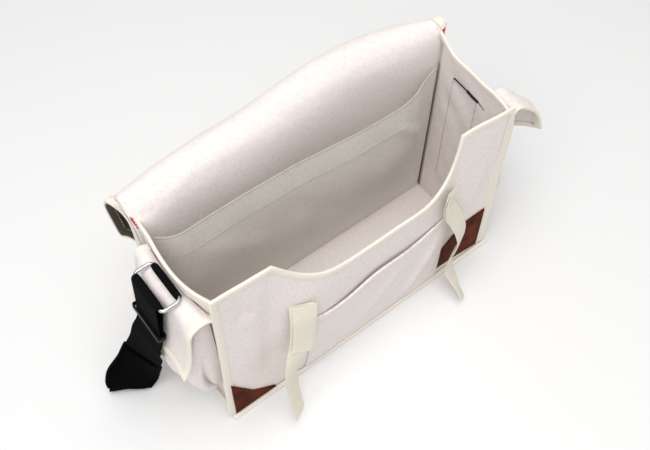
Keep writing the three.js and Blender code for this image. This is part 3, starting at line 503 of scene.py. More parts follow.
def tape(name, surface, stops, laps, finish, closed=False, half=CLOTH / 2):
    """A tape folded over a surface's edge, and the seams of its legs; laps are (stops passed, lap) rows."""
    at_stop, lap_rows = zip(*laps)
    walk, passed = edge_walk(surface, stops, max(lap_rows))
    laps = np.interp(passed, at_stop, lap_rows)
    if closed:
        walk, laps = walk[:-1], laps[:-1]
    at, across, out = edge_stations(surface, walk, closed)
    outer, inner = tape_sides(laps, half)
    made = sweep(name, np.concatenate([outer, inner[:, ::-1]], axis=1), at, across, out, finish, closed)
    if closed:
        at, across, out, laps = (np.concatenate([array, array[:1]]) for array in (at, across, out, laps))
    reach = half + TAPE_PLAY + TAPE - TAPE_SEAM["sunk"]
    inward = TAPE_SEAM["lap_share"] * laps[:, None] * out
    seams = [(at + side * reach * across - inward, side * across) for side in (1, -1)]
    return made, seams


TAPE_CLOTH = cloth_finish("binding_tape", TAPE_LIGHT, TAPE_DARK, thread=0.7, slub=4.0, bump=0.3)
BASE_STOPS = ((0, 0), (1, 0), (1, 1), (0, 1), (0, 0))
base_tape, base_seams = tape("base_tape", base_surface, BASE_STOPS, ((0, BASE_LAP),), TAPE_CLOTH, closed=True)
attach(base_tape, "root")
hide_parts("base_binding")
base_stitches = sew("base_stitches", base_seams, THREAD, seed=1)
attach(base_stitches, "root")

# Front: one canvas panel with a deep scoop cut in its top edge between two horns.
# It stands out in a soft belly, and its sides run past the ends as seam flanges.
FLANGE = 10
EDGE_X = LENGTH / 2 + FLANGE
WALL_Y = (DEPTH - CLOTH) / 2
WALL_FOOT = 4.2
FLANGE_FOOT = 6.8
FRONT_TAPER = 0.025
FRONT_CORNER_TOP = 269
SEAM_FOLD = (-1, 0.5)
SEAM_X = LENGTH / 2 + SEAM_FOLD[1]
FIN = {
    "z": (0, 50, 90, 130, 175, 225, 269),
    "left": (7, 6.5, 5.5, 4.2, 3.2, 2.5, 1.5),
    "right": (3.5, 2, 2.5, 1.5, 2, 5, 0.6),
}
FRONT_FORM = {
    "x": (-200, -140, -95, -50, 10, 66, 100, 126, 200),
    "belly": (0, 4, 14, 11, 7, 6, 5, 3, 0),
    "rim": (-4, 0, 4, 8, 9, 4, -3, -8, -4),
}
SCOOP = {
    "x": (-134, -118, -98, -75, -45, 0, 35, 66, 84, 100, 113, 122, 127),
    "top": (271, 251, 233, 220, 212, 209, 207, 204, 205, 212, 226, 248, 270),
}
FRONT_FOLDS = (
    {"from": (-186, 246), "to": (-168, 206), "wide": 10, "deep": -4.5},
    {"from": (-150, 40), "to": (-140, 240), "wide": 11, "deep": -2.6},
    {"from": (-30, 40), "to": (45, 130), "wide": 13, "deep": 2.4},
    {"from": (52, 20), "to": (96, 118), "wide": 10, "deep": 4.0},
    {"from": (150, 100), "to": (176, 210), "wide": 10, "deep": 1.0},
)
FRONT_DENT = {"size": 62, "deep": 0.55, "seed": 4}
FRONT_SLACK = {"sides": (-192, -160), "foot": (12, 40)}
FRONT_GRID = (150, 90)
FOLD_FADE = (-0.2, 0.3)
DENT_WAVES = {"count": 7, "stretch": (0.7, 1.6), "share": 1 / 3}


def soft_dents(a, b, size, seed):
    """Even, smooth dents over two lengths, about `size` across, mostly from -1 to 1."""
    draw = np.random.default_rng(seed)
    total = 0
    for _ in range(DENT_WAVES["count"]):
        turn, phase = draw.uniform(0, 2 * np.pi, 2)
        wave = 2 * np.pi / (size * draw.uniform(*DENT_WAVES["stretch"]))
        total = total + np.sin(wave * (a * np.cos(turn) + b * np.sin(turn)) + phase)
    return total * DENT_WAVES["share"]


def folds(rows, a, b):
    """Soft ridges along straight lines over two lengths."""
    total = 0
    for row in rows:
        start, stop = np.array(row["from"], float), np.array(row["to"], float)
        length = np.linalg.norm(stop - start)
        way = (stop - start) / length
        along = ((a - start[0]) * way[0] + (b - start[1]) * way[1]) / length
        aside = (b - start[1]) * way[0] - (a - start[0]) * way[1]
        keep = smooth_step(along, *FOLD_FADE) * smooth_step(1 - along, *FOLD_FADE)
        total = total + row["deep"] * keep * np.exp(-(aside / row["wide"]) ** 2)
    return total


def front_point(x, z):
    rise = z / HEIGHT
    belly = 4 * rise * (1 - rise) * smooth_curve(FRONT_FORM["x"], FRONT_FORM["belly"], x)
    rim = rise * rise * smooth_curve(FRONT_FORM["x"], FRONT_FORM["rim"], x)
    slack = smooth_step(-np.abs(x), *FRONT_SLACK["sides"]) * smooth_step(z, *FRONT_SLACK["foot"])
    dents = FRONT_DENT["deep"] * soft_dents(x, z, FRONT_DENT["size"], FRONT_DENT["seed"])
    loose = slack * (folds(FRONT_FOLDS, x, z) + dents)
    keep = np.where(x < 0, smooth_curve(FIN["z"], FIN["left"], z), smooth_curve(FIN["z"], FIN["right"], z))
    past = np.maximum(np.abs(x) - SEAM_X, 0) / (EDGE_X - SEAM_X)
    x = np.sign(x) * (np.minimum(np.abs(x), SEAM_X) + past * keep)
    return point(x * (1 - FRONT_TAPER * rise), -WALL_Y - belly - rim - loose, z)


def front_top(x):
    left, right = SCOOP["x"][0], SCOOP["x"][-1]
    scoop = smooth_curve(SCOOP["x"], SCOOP["top"], x)
    past_left = SCOOP["top"][0] + (FRONT_CORNER_TOP - SCOOP["top"][0]) * (left - x) / (left + EDGE_X)
    past_right = SCOOP["top"][-1] + (FRONT_CORNER_TOP - SCOOP["top"][-1]) * (x - right) / (EDGE_X - right)
    return np.where(x < left, past_left, np.where(x > right, past_right, scoop))


def wall_foot(x):
    return np.where(np.abs(x) > LENGTH / 2, FLANGE_FOOT, WALL_FOOT)


def front_surface(u, v):
    x = EDGE_X * (2 * u - 1)
    return front_point(x, wall_foot(x) + (front_top(x) - wall_foot(x)) * v)


def width_shares(steps, *corners):
    """Shares of the width from seam to seam, with columns at the seams' folds and at the given places."""
    fold = LENGTH / 2 + np.array(SEAM_FOLD)
    places = np.concatenate([np.linspace(-EDGE_X, EDGE_X, steps), corners, fold, -fold])
    return (np.unique(places) + EDGE_X) / (2 * EDGE_X)


HORNS = [(x + EDGE_X) / (2 * EDGE_X) for x in (SCOOP["x"][-1], SCOOP["x"][0])]
front_us = width_shares(FRONT_GRID[0], SCOOP["x"][0], SCOOP["x"][-1])
front = cloth_wall("front", lay_out(front_surface, front_us, even(FRONT_GRID[1])), CLOTH, CANVAS)
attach(front, "root")
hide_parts("front_panel")

# Front tape: the same cream tape, up one seam flange, along the horns and the scoop, and down the other.
# It closes the corner seams as standing fins and keeps the scoop's cut edge from fraying.
FRONT_LAPS = ((0, 15), (0.85, 13), (1.02, 5), (3.98, 5), (4.04, 7.5), (5, 7.5))
TAPE_FOOT = 0.006
FRONT_STOPS = ((1, TAPE_FOOT), (1, 1), (HORNS[0], 1), (HORNS[1], 1), (0, 1), (0, TAPE_FOOT))
front_tape, front_seams = tape("front_tape", front_surface, FRONT_STOPS, FRONT_LAPS, TAPE_CLOTH)
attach(front_tape, "root")
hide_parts("front_binding")
front_stitches = sew("front_stitches", front_seams, THREAD, seed=2)
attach(front_stitches, "root")

# Corner patches: brown leather sewn over the lower front corners, where the bag wears.
# The left one shows as a notched triangle, the right one as a block with its inner corner cut off.
# The edges are cut square, and brown stitches run along the top and the foot.
LEATHER = 1.6
PATCH_GAP = 0.5
PATCH_STAND = (CLOTH + LEATHER) / 2 + PATCH_GAP
PATCH_GRID = 36
PATCH_BEVEL = 0.35
PATCH_SEAM = {"inset": 4.0, "from": 0.06, "to": 0.84, "points": 40}
PATCHES = {
    "left": {
        "side": -1, "edge": 201,
        "across": (0, 27, 57), "foot": (7.5, 7.5, 7.5), "top": (87, 38.5, 10),
    },
    "right": {
        "side": 1, "edge": 187,
        "across": (0, 38, 74, 88), "foot": (11, 18, 23, 25), "top": (94, 94, 65, 28),
    },
}
LEATHER_LIGHT = (0.13, 0.017, 0.001, 1)
LEATHER_DARK = (0.045, 0.005, 0.0005, 1)
LEATHER_THREAD_COLOUR = (0.10, 0.028, 0.012, 1)


def leather_finish():
    """Brown grain leather: small pebbles, a mottled dye and a dull polish."""
    finish, tree = new_finish("brown_leather")
    place = add(tree, "ShaderNodeTexCoord").outputs["Object"]
    grain = add(tree, "ShaderNodeTexVoronoi", {"feature": "DISTANCE_TO_EDGE"}, Vector=place, Scale=900.0)
    mottle = object_noise(tree, scale=45.0, detail=5.0)
    dye = two_tone(tree, mottle, LEATHER_DARK, LEATHER_LIGHT, low=0.3, high=0.7)
    gloss = add(tree, "ShaderNodeMapRange", Value=mottle, To_Min=0.62, To_Max=0.48).outputs["Result"]
    coat(tree, Base_Color=dye, Roughness=gloss, Normal=raised(tree, grain.outputs["Distance"], 0.4, 0.25),
         Specular_IOR_Level=0.04)
    return finish


def patch_surface(side, edge, across, foot, top):
    def surface(u, v):
        inward = across[-1] * (u if side < 0 else 1 - u)
        low, high = np.interp(inward, across, foot), np.interp(inward, across, top)
        return front_point(side * (edge - inward), low + (high - low) * v) - (0, PATCH_STAND, 0)
    return surface


LEATHER_FINISH = leather_finish()
LEATHER_THREAD = thread_finish("brown_thread", LEATHER_THREAD_COLOUR)
for name, patch in PATCHES.items():
    skin = patch_surface(**patch)
    grid = even(PATCH_GRID)
    leather = cloth_wall(f"{name}_patch", lay_out(skin, grid, grid), LEATHER, LEATHER_FINISH)
    bevel = leather.modifiers.new("edge", "BEVEL")
    bevel.width = PATCH_BEVEL * MM
    bevel.segments = 2
    bevel.limit_method = "ANGLE"
    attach(leather, "root")
    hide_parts(f"{name}_corner_patch")
    across = np.linspace(PATCH_SEAM["from"], PATCH_SEAM["to"], PATCH_SEAM["points"])
    heights = np.subtract(patch["top"], patch["foot"])
    inset = PATCH_SEAM["inset"] / np.interp(across * patch["across"][-1], patch["across"], heights)
    along = across if patch["side"] < 0 else 1 - across
    hems = [(skin(along, share) - (0, LEATHER / 2, 0), (0, -1, 0)) for share in (1 - inset, inset)]
    patch_stitches = sew(f"{name}_patch_stitches", hems, LEATHER_THREAD, seed=3)
    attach(patch_stitches, "root")

# Slip pocket: a second layer of canvas on the front between the two straps, open along its top.
# Its mouth is hemmed, sewn once along, and gapes a little.
SLIP = {"left": -100, "right": 112, "foot": 8, "top": 150, "gape": 3.2, "stand": 2.6}
SLIP_HEM = {"deep": 11, "thick": 0.7, "ramp": 1.5, "seam": 9.5, "stitch_stand": 0.3}
SLIP_MOUTH = {"along": (0, 0.22, 0.45, 0.72, 1), "lift": (0, -6, 4, -2, 0)}
SLIP_TALL = SLIP["top"] - SLIP["foot"]
SLIP_GRID = (100, 80)
SLIP_SEAM = {"count": 90, "clear": 0.02}


def slip_surface(u, v):
    x = SLIP["left"] + (SLIP["right"] - SLIP["left"]) * u
    z = SLIP["foot"] + (SLIP_TALL + smooth_curve(SLIP_MOUTH["along"], SLIP_MOUTH["lift"], u)) * v
    gape = SLIP["gape"] * np.sin(np.pi * u) * v * v
    return front_point(x, z) - point(0, SLIP["stand"] + gape, 0)


def hem_thick(below, hem):
    """How thick the cloth is in rows that lie so far below its hemmed edge."""
    doubled = 1 - smooth_step(below, hem["deep"], hem["deep"] + hem["ramp"])
    return (CLOTH + hem["thick"] * doubled)[:, None]


def row_line(surface, share, count, clear):
    """Points along one row of a surface."""
    return surface(even(count, clear), np.full(count, share))


slip_vs = even(SLIP_GRID[1])
slip_thick = hem_thick((1 - slip_vs) * SLIP_TALL, SLIP_HEM)
slip = cloth_wall("slip_pocket", lay_out(slip_surface, even(SLIP_GRID[0]), slip_vs), slip_thick, CANVAS)
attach(slip, "root")
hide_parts("front_pocket_panel")
slip_line = row_line(slip_surface, 1 - SLIP_HEM["seam"] / SLIP_TALL, **SLIP_SEAM)
slip_line = slip_line - (0, CLOTH / 2 + SLIP_HEM["stitch_stand"], 0)
slip_stitches = sew("slip_stitches", [(slip_line, (0, -1, 0))], THREAD, seed=5)
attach(slip_stitches, "root")

# Back and flap: one long canvas, up the back, over in a soft roll and down behind the bag.
# The flap is thrown back, so its inside shows above the mouth and its free edge hangs behind.
BACK_FLARE = 0.019
BACK_ROLL = {
    "out": (0, 0, 0, 0, 5, 15, 28, 41, 50, 52, 47, 37, 26, 18, 13, 11, 11),
    "z": (WALL_FOOT, 90, 180, 238, 261, 272, 276, 271, 259, 245, 232, 223, 214, 200, 170, 110, 40),
    "lean": (0, 0.12, 0.5, 0.9, 1, 1, 1, 1, 1, 1, 1, 0.95, 0.9, 0.8, 0.6, 0.4, 0.3),
    "left_out": (0, 0, 2, 7, 12, 12, 9, 6, 3, 4, 8, 11, 10, 6, 2, 0, 0),
    "left_z": (0, 0, 0, 0, -7, -10, -10, -11, -13, -16, -22, -29, -18, -8, -4, 0, 0),
    "right_out": (0, 0, 0, 1, -2, -8, -14, -19, -21, -20, -16, -10, -4, 0, 0, 0, 0),
    "right_z": (0, 0, 3, 7, 6, 7, 9, 12, 13, 13, 11, 8, 5, 2, 0, 0, 0),
    "skew": (0, 0, 0, 0, 0, 0, 0, 0, 0, 1, 2, 3, 9, 13, 15, 15, 15),
    "left_bend": (0, 20, 60, 85, 80, 55, 20, 0, 0, 0, 0, 0, 0, 0, 0, 0, 0),
    "right_bend": (0, 20, 50, 85, 70, 25, 0, 0, 0, 0, 0, 0, 0, 0, 0, 0, 0),
    "right_keep": (1, 1, 1, 1, 1, 0.8, 0.5, 0.45, 0.45, 0.5, 0.6, 0.8, 1, 1, 1, 1, 1),
}
BACK_RISE_ROWS = 6
BACK_FORM = {
    "x": (-199, -164, -103, -40, 26, 80, 123, 168, 199),
    "bow": (0, 3, 5, 7, 12, 14, 12, 3, -3),
    "lift": (-4, -2, 4, 6, 11, 12, 10, 9, 5),
    "left": (1, 0.3, 0, 0, 0, 0, 0, 0, 0),
    "right": (0, 0, 0, 0, 0, 0, 0, 0.25, 1),
}
BACK_FOLDS = (
    {"from": (-150, 150), "to": (-90, 262), "wide": 16, "deep": -1.6},
    {"from": (20, 170), "to": (60, 268), "wide": 18, "deep": 1.5},
    {"from": (110, 190), "to": (165, 262), "wide": 12, "deep": -1.2},
    {"from": (-40, 360), "to": (30, 480), "wide": 20, "deep": 2.4},
    {"from": (-150, 380), "to": (-110, 540), "wide": 18, "deep": -2.0},
    {"from": (110, 370), "to": (130, 560), "wide": 22, "deep": 2.2},
)
BACK_DENT = {"size": 85, "deep": 0.8, "seed": 11}
BACK_SLACK = {"sides": (-194, -155), "foot": (0.06, 0.15), "hem": (-0.985, -0.93)}
BACK_TALL = 600
BACK_GRID = (140, 190)
# Where the painted shade inside the roll's left end lies.
ROLL_HOLLOW = {
    "middle": (WALL_Y + 32, 232), "reach": 48, "fade": 12, "depth": (172, 196), "below": (-258, -248),
    "end_share": 0.8, "facing": (-0.15, 0.25),
}


def read_row(table, column, share):
    """Reads a table's column a share of the way down its rows."""
    values = table[column]
    return smooth_curve(np.linspace(0, 1, len(values)), values, share)


def back_point(x, share):
    roll = {column: read_row(BACK_ROLL, column, share) for column in BACK_ROLL}
    form = {column: smooth_curve(BACK_FORM["x"], BACK_FORM[column], x) for column in BACK_FORM}
    slack = smooth_step(-np.abs(x), *BACK_SLACK["sides"])
    slack = slack * smooth_step(share, *BACK_SLACK["foot"]) * smooth_step(-share, *BACK_SLACK["hem"])
    run = share * BACK_TALL
    dents = BACK_DENT["deep"] * soft_dents(x, run, BACK_DENT["size"], BACK_DENT["seed"])
    loose = slack * (folds(BACK_FOLDS, x, run) + dents)
    y = WALL_Y + roll["out"] + roll["lean"] * form["bow"] + loose
    z = roll["z"] + roll["lean"] * form["lift"]
    for side in ("left", "right"):
        y = y + form[side] * roll[f"{side}_out"]
        z = z + form[side] * roll[f"{side}_z"]
    past = np.maximum(np.abs(x) - SEAM_X, 0)
    kept = past * np.where(x < 0, 1, roll["right_keep"])
    bend = np.radians(np.where(x < 0, roll["left_bend"], roll["right_bend"]))
    x = (x - np.sign(x) * (past - kept * np.cos(bend))) * (1 + BACK_FLARE * roll["lean"]) + roll["skew"]
    return point(x, y + kept * np.sin(bend), np.maximum(z, wall_foot(x)))


def back_surface(u, v):
    return back_point(EDGE_X * (2 * u - 1), v)


def mark_shade(mesh, shade):
    """Stores how much painted shade each vertex of a mesh gets, for the cloth's finish."""
    mesh.attributes.new("shade", "FLOAT", "POINT").data.foreach_set("value", shade.astype(np.float32))


def vertex_places(mesh):
    """A mesh's vertices, in millimetres."""
    return np.array([vertex.co for vertex in mesh.vertices]) / MM


def shade_hollow(made):
    """Marks painted shade on what faces the hollow inside the roll's left end."""
    mesh = made.data
    normals = np.array([normal.vector for normal in mesh.vertex_normals])
    places = vertex_places(mesh)
    inward = point(0, *ROLL_HOLLOW["middle"]) - places * (0, 1, 1)
    reach = ROLL_HOLLOW["reach"]
    near = smooth_step(-np.linalg.norm(inward, axis=1), -reach - ROLL_HOLLOW["fade"], -reach)
    facing = np.sum(normals * unit(inward), axis=1) + ROLL_HOLLOW["end_share"] * np.minimum(normals[:, 0], 0)
    facing = smooth_step(facing, *ROLL_HOLLOW["facing"])
    deep = smooth_step(-places[:, 0], *ROLL_HOLLOW["depth"])
    below = smooth_step(-places[:, 2], *ROLL_HOLLOW["below"])
    mark_shade(mesh, near * facing * deep * below)


back_us = width_shares(BACK_GRID[0])
back = cloth_wall("back_and_flap", lay_out(back_surface, back_us, even(BACK_GRID[1])), CLOTH, CANVAS)
# Painted shade in the hollow of the roll's left end.
shade_hollow(back)
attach(back, "root")
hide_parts("back_flap_panel")

# Flap tape: cream tape from the foot of one back seam, over the roll, round the flap and down the other seam.
# Red bar tacks lock it where the flap leaves the bag's ends.
TACK_COLOUR = (0.55, 0.02, 0.025, 1)
TACKS = {"left": {"u": 0, "from": 0.2, "to": 0.25}, "right": {"u": 1, "from": 0.284, "to": 0.312}}
TACK_INSET = (0.010, 0.026)
TACK_POINTS = 8
TACK_STITCH = {"pitch": 0.9, "length": 2.2, "width": 1.6}
FLAP_LAPS = ((0, 9), (2.4, 9), (2.5, 8), (3, 7))
FLAP_TAPE_PLAY = 0.5
FLAP_STOPS = ((1, TAPE_FOOT), (1, 1), (0, 1), (0, TAPE_FOOT))
flap_tape, flap_seams = tape(
    "flap_tape", back_surface, FLAP_STOPS, FLAP_LAPS, TAPE_CLOTH, half=CLOTH / 2 + FLAP_TAPE_PLAY)
# The tape's inner leg in that hollow gets the same painted shade.
shade_hollow(flap_tape)
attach(flap_tape, "root")
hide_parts("flap_binding")
flap_stitches = sew("flap_stitches", flap_seams, THREAD, seed=6)
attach(flap_stitches, "root")

RED_THREAD = thread_finish("red_thread", TACK_COLOUR)
tack_lines = []
for tack in TACKS.values():
    shares = np.linspace(tack["from"], tack["to"], TACK_POINTS)
    inset = np.where(np.arange(TACK_POINTS) % 2, *TACK_INSET)
    line = back_surface(np.abs(tack["u"] - inset), shares)
    facing = unit(np.cross((1, 0, 0), np.gradient(line, axis=0)))
    reach = CLOTH / 2 + FLAP_TAPE_PLAY + TAPE_PLAY + TAPE
    tack_lines.append((line + reach * facing, facing))
tacks = sew("red_tacks", tack_lines, RED_THREAD, seed=7, **TACK_STITCH)
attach(tacks, "root")

# Ends: two narrow canvas panels between front and back, with tape folded over their top edges.
# On the inside of the right one the pocket's stitching shows, with a dark bar at its top.
END_X = 198
END_LEAN = {"front": -5, "back": 2.5}
END_BOW = {"left": 6, "right": 1}
END_TOPS = {
    "along": (0, 0.12, 0.35, 0.65, 0.85, 1),
    "left": (267, 261, 255, 254.5, 253, 247),
    "right": (262, 266, 265.5, 266.3, 270, 284),
}
END_LIP = {
    "along": (0, 0.15, 0.35, 0.56, 0.75, 1),
    "left": (3, 4.6, 5, 2.2, 0, -0.6),
    "right": (0, 0, 0, 0, 0, 0),
}
END_LIP_Z = (222, 258)
END_SLACK = {"front": (0.05, 0.25), "back": (-0.95, -0.75)}
END_GRID = (60, 80)
# Painted shade in the right end's inside corner, in the narrow gap behind the divider's edge.
CORNER_SHADE = {"y": (55, 59), "top": (-246, -238), "dark": 0.4, "darker": 0.5}
TOP_LAPS = {"left": ((0, 12), (0.6, 9), (0.85, 12), (1, 15)), "right": ((0, 4),)}
END_STAND = 1.5
ROLL_STAND = 0.8
SIDES = {"left": -1, "right": 1}
END_DENT = {"size": 48, "deep": 0.7, "seed": {"left": 21, "right": 22}}
DARK_THREAD_COLOUR = (0.006, 0.005, 0.005, 1)
SEAM_THREAD_COLOUR = (0.34, 0.29, 0.27, 1)


def end_out(name, along, z):
    rise = z / HEIGHT
    lean = END_LEAN["front"] + (END_LEAN["back"] - END_LEAN["front"]) * along
    return END_X + rise * (lean + END_BOW[name] * np.sin(np.pi * along))


def back_seam_y(z, side):
    share = np.arange(BACK_RISE_ROWS) / (len(BACK_ROLL["z"]) - 1)
    rise = back_point(np.full(BACK_RISE_ROWS, side * END_X), share)
    return smooth_curve(rise[:, 2], rise[:, 1], z)


def end_surface(name):
    side = SIDES[name]

    def surface(u, v):
        z = WALL_FOOT + (smooth_curve(END_TOPS["along"], END_TOPS[name], u) - WALL_FOOT) * v
        front_y = front_point(np.full_like(z, side * END_X), z)[..., 1] + END_STAND
        back_y = back_seam_y(z, side) - END_STAND - ROLL_STAND
        slack = smooth_step(u, *END_SLACK["front"]) * smooth_step(-u, *END_SLACK["back"])
        dents = slack * END_DENT["deep"] * soft_dents(u * DEPTH, z, END_DENT["size"], END_DENT["seed"][name])
        lip = smooth_curve(END_LIP["along"], END_LIP[name], u) * smooth_step(z, *END_LIP_Z)
        return point(side * (end_out(name, u, z) + lip + dents), front_y + (back_y - front_y) * u, z)
    return surface


def end_face(name, y, z):
    """How far out the outer face of an end panel is."""
    return end_out(name, (y + WALL_Y) / (2 * WALL_Y), z) + CLOTH / 2


DARK_THREAD = thread_finish("dark_thread", DARK_THREAD_COLOUR)
SEAM_THREAD = thread_finish("seam_thread", SEAM_THREAD_COLOUR)
for seed, name in enumerate(SIDES, 8):
    skin = end_surface(name)
    end = cloth_wall(f"{name}_end", lay_out(skin, *map(even, END_GRID)), CLOTH, CANVAS)
    # Painted shade: a dark strip down the right end's inside, behind the divider's edge, darker below the
    # divider's top.
    if name == "right":
        places = vertex_places(end.data)
        below = smooth_step(-places[:, 2], *CORNER_SHADE["top"])
        dark = CORNER_SHADE["dark"] + CORNER_SHADE["darker"] * below
        mark_shade(end.data, dark * smooth_step(places[:, 1], *CORNER_SHADE["y"]))
    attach(end, "root")
    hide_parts(f"{name}_end_panel")
    top_tape, top_seams = tape(f"{name}_top_tape", skin, ((1, 1), (0, 1)), TOP_LAPS[name], TAPE_CLOTH)
    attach(top_tape, "root")
    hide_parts(f"{name}_top_binding")
    top_stitches = sew(f"{name}_top_stitches", top_seams, THREAD, seed)
    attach(top_stitches, "root")

SEAM_STAND = 0.9
SEAM_POINTS = 40
BAR = {"thread": DARK_THREAD, "length": 1.5}
ROW = {"thread": SEAM_THREAD, "length": 2.6}
END_SEAMS = {
    "bar": {"from": (31.5, 239.3), "to": (-12.3, 236.7), "stitch": {**BAR, "pitch": 0.9, "width": 1.9}},
    "bar_end": {"from": (7, 238.2), "to": (-11, 236.8), "stitch": {**BAR, "pitch": 0.9, "width": 4.6}},
    "bar_tail": {"from": (-12, 236.7), "to": (-22, 233.7), "stitch": {**BAR, "pitch": 1.2, "width": 1}},
    "rear_row": {"from": (32.5, 236), "to": (32, 66), "stitch": {**ROW, "pitch": 3.6, "width": 0.8}},
    "front_row": {"from": (-9.5, 233), "to": (-9, 66), "stitch": {**ROW, "pitch": 3.6, "width": 0.8}},
}
for seed, (name, seam) in enumerate(END_SEAMS.items(), 30):
    y, z = (a + (b - a) * even(SEAM_POINTS) for a, b in zip(seam["from"], seam["to"]))
    line = point(end_face("right", y, z) - CLOTH - SEAM_STAND, y, z)
    inner_seam = sew(f"right_end_{name}", [(line, (-1, 0, 0))], seed=seed, **seam["stitch"])
    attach(inner_seam, "root")

# Divider: a panel of cooler grey canvas hung in front of the back, which makes a flat compartment behind it.
# Its top is turned over as a wide hem with one row of stitches; its sides are caught in the end seams.
DIVIDER = {"foot": 4, "top": 236, "back_y": 60.5, "end_x": 194}
DIVIDER_MOUTH = {
    "x": (-196, -182, -165, -83, 8, 60, 118, 148, 172, 196),
    "y": (57, 47, 43, 45, 41, 37, 36, 41, 52, 59),
}
DIVIDER_REACH = {"z": (4, 70, 140, 200, 236), "reach": (0, 0.55, 1.1, 1.15, 1)}
DIVIDER_HEM = {"deep": 35, "thick": 0.6, "ramp": 2, "seam": 32.5, "stitch_stand": 0.4, "edge_shade": 0.5}
DIVIDER_TALL = DIVIDER["top"] - DIVIDER["foot"]
DIVIDER_GRID = (130, 110)
DIVIDER_SEAM = {"count": 160, "clear": 0.01}
DIVIDER_SLACK = {"sides": (-188, -160), "foot": (30, 80)}
DIVIDER_FOLDS = (
    {"from": (120, 205), "to": (172, 150), "wide": 7, "deep": 2.6},
    {"from": (-150, 190), "to": (-60, 120), "wide": 16, "deep": 1.8},
    {"from": (-40, 180), "to": (40, 90), "wide": 18, "deep": -1.8},
)
DIVIDER_DENT = {"size": 80, "deep": 0.6, "seed": 31}
LINING_LIGHT = (0.75, 0.725, 0.675, 1)
LINING_DARK = (0.63, 0.605, 0.56, 1)


def divider_surface(u, v):
    x = DIVIDER["end_x"] * (2 * u - 1)
    z = DIVIDER["foot"] + DIVIDER_TALL * v
    stand = DIVIDER["back_y"] - smooth_curve(DIVIDER_MOUTH["x"], DIVIDER_MOUTH["y"], x)
    reach = smooth_curve(DIVIDER_REACH["z"], DIVIDER_REACH["reach"], z)
    slack = smooth_step(-np.abs(x), *DIVIDER_SLACK["sides"]) * smooth_step(z, *DIVIDER_SLACK["foot"])
    dents = DIVIDER_DENT["deep"] * soft_dents(x, z, DIVIDER_DENT["size"], DIVIDER_DENT["seed"])
    loose = slack * (folds(DIVIDER_FOLDS, x, z) + dents)
    return point(x, DIVIDER["back_y"] - stand * reach - loose, z)


LINING = cloth_finish("grey_canvas", LINING_LIGHT, LINING_DARK, sheen=0.1)
divider_vs = even(DIVIDER_GRID[1])
divider_thick = hem_thick((1 - divider_vs) * DIVIDER_TALL, DIVIDER_HEM)
divider = cloth_wall(
    "divider", lay_out(divider_surface, even(DIVIDER_GRID[0]), divider_vs), divider_thick, LINING)
# Painted shade along the divider's top edge, so that the hem's fold does not show as a bright line.
divider_edge = np.tile(np.repeat(divider_vs == 1, DIVIDER_GRID[0]), 2)
mark_shade(divider.data, DIVIDER_HEM["edge_shade"] * divider_edge)
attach(divider, "root")
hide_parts("divider_panel")
divider_line = row_line(divider_surface, 1 - DIVIDER_HEM["seam"] / DIVIDER_TALL, **DIVIDER_SEAM)
divider_line = divider_line - (0, CLOTH / 2 + DIVIDER_HEM["stitch_stand"], 0)
divider_stitches = sew("divider_stitches", [(divider_line, (0, -1, 0))], THREAD, seed=12)
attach(divider_stitches, "root")

# Closing straps: ecru cotton webbing, doubled over at its head and sewn to the front there.
# The rest hangs loose past the base's edge and ends in a cut tip in front of the bag.
CLOSING_WIDTH = 27
WEBBING = 1.8
SELVEDGE = {"points": 9, "power": 14, "least": 0.12}
HEAD_FOLD = {"length": 9, "thick": 1.5, "ramp": 1.5}
CLOSING_STRAPS = {
    "left": {
        "x": (-108, -111, -114.4, -119, -128.7, -136.6, -139, -140, -142),
        "y": (-78, -82.6, -85, -87, -91, -95, -99, -106, -114),
        "z": (190, 171, 145, 121.5, 105, 85, 56, 31, 14),
        "turn": (-20, -14, -10, -6, 6, 22, 32, 38, 40),
    },
    "right": {
        "x": (108.3, 101.5, 114.4, 123.5, 127.5, 124.6, 120.4, 118.3, 119, 118.8, 117),
        "y": (-70.5, -75, -78, -82, -84, -84, -82, -82, -89, -101, -117),
        "z": (199, 181.7, 151.5, 125.7, 104.5, 86.8, 68.3, 47.3, 30.5, 20, 11),
        "turn": (25, 24, 22, 24, 27, 27, 26, 28, 44, 60, 66),
    },
}
DOUBLED = {"left": {"length": 78, "aside": 2.6}, "right": {"length": 30, "aside": 0}}
DOUBLED_GAP = 0.3
HEAD_ROWS = (2.0, 8.0, 22.0)
HEAD_ROW = {"half": 0.42, "points": 14}
HEAD_STITCH = {"pitch": 2.4, "length": 2.0, "width": 0.6}
CLOSING_STEPS = 14
RIBS = {"bend": 0.6, "lengthwise": 1.4, "across_share": 0.7, "yarn": (160, 1400, 1), "low": 0.5}
ECRU_LIGHT = (0.80, 0.755, 0.635, 1)
ECRU_DARK = (0.67, 0.62, 0.50, 1)


def webbing_finish(name, light, dark, rib, rough, sheen, gloss):
    """Flat webbing: tight ribs across its length and fine yarn along it. Its colour follows the relief:
    lighter on the raised ribs as a painted highlight, darker between them as painted shade, with the yarn
    streaks as its own uneven tone.
    """
    finish, tree = new_finish(name)
    flat = flat_map(tree)
    across = bands(tree, flat, "X", rib, RIBS["bend"])
    lengthwise = bands(tree, flat, "Y", RIBS["lengthwise"] * rib)
    ribs = combine(tree, "MULTIPLY_ADD", across, RIBS["across_share"], lengthwise)
    height = combine(tree, "ADD", ribs, streaks(tree, flat, RIBS["yarn"], 2.0))
    # The colour ramp runs over the same height as the bump: painted highlight on the ribs, painted shade in
    # the grooves.
    coat(tree, Base_Color=two_tone(tree, height, dark, light, low=RIBS["low"]), Roughness=rough,
         Normal=raised(tree, height, 0.5, 0.35), Sheen_Weight=sheen, Specular_IOR_Level=gloss)
    return finish


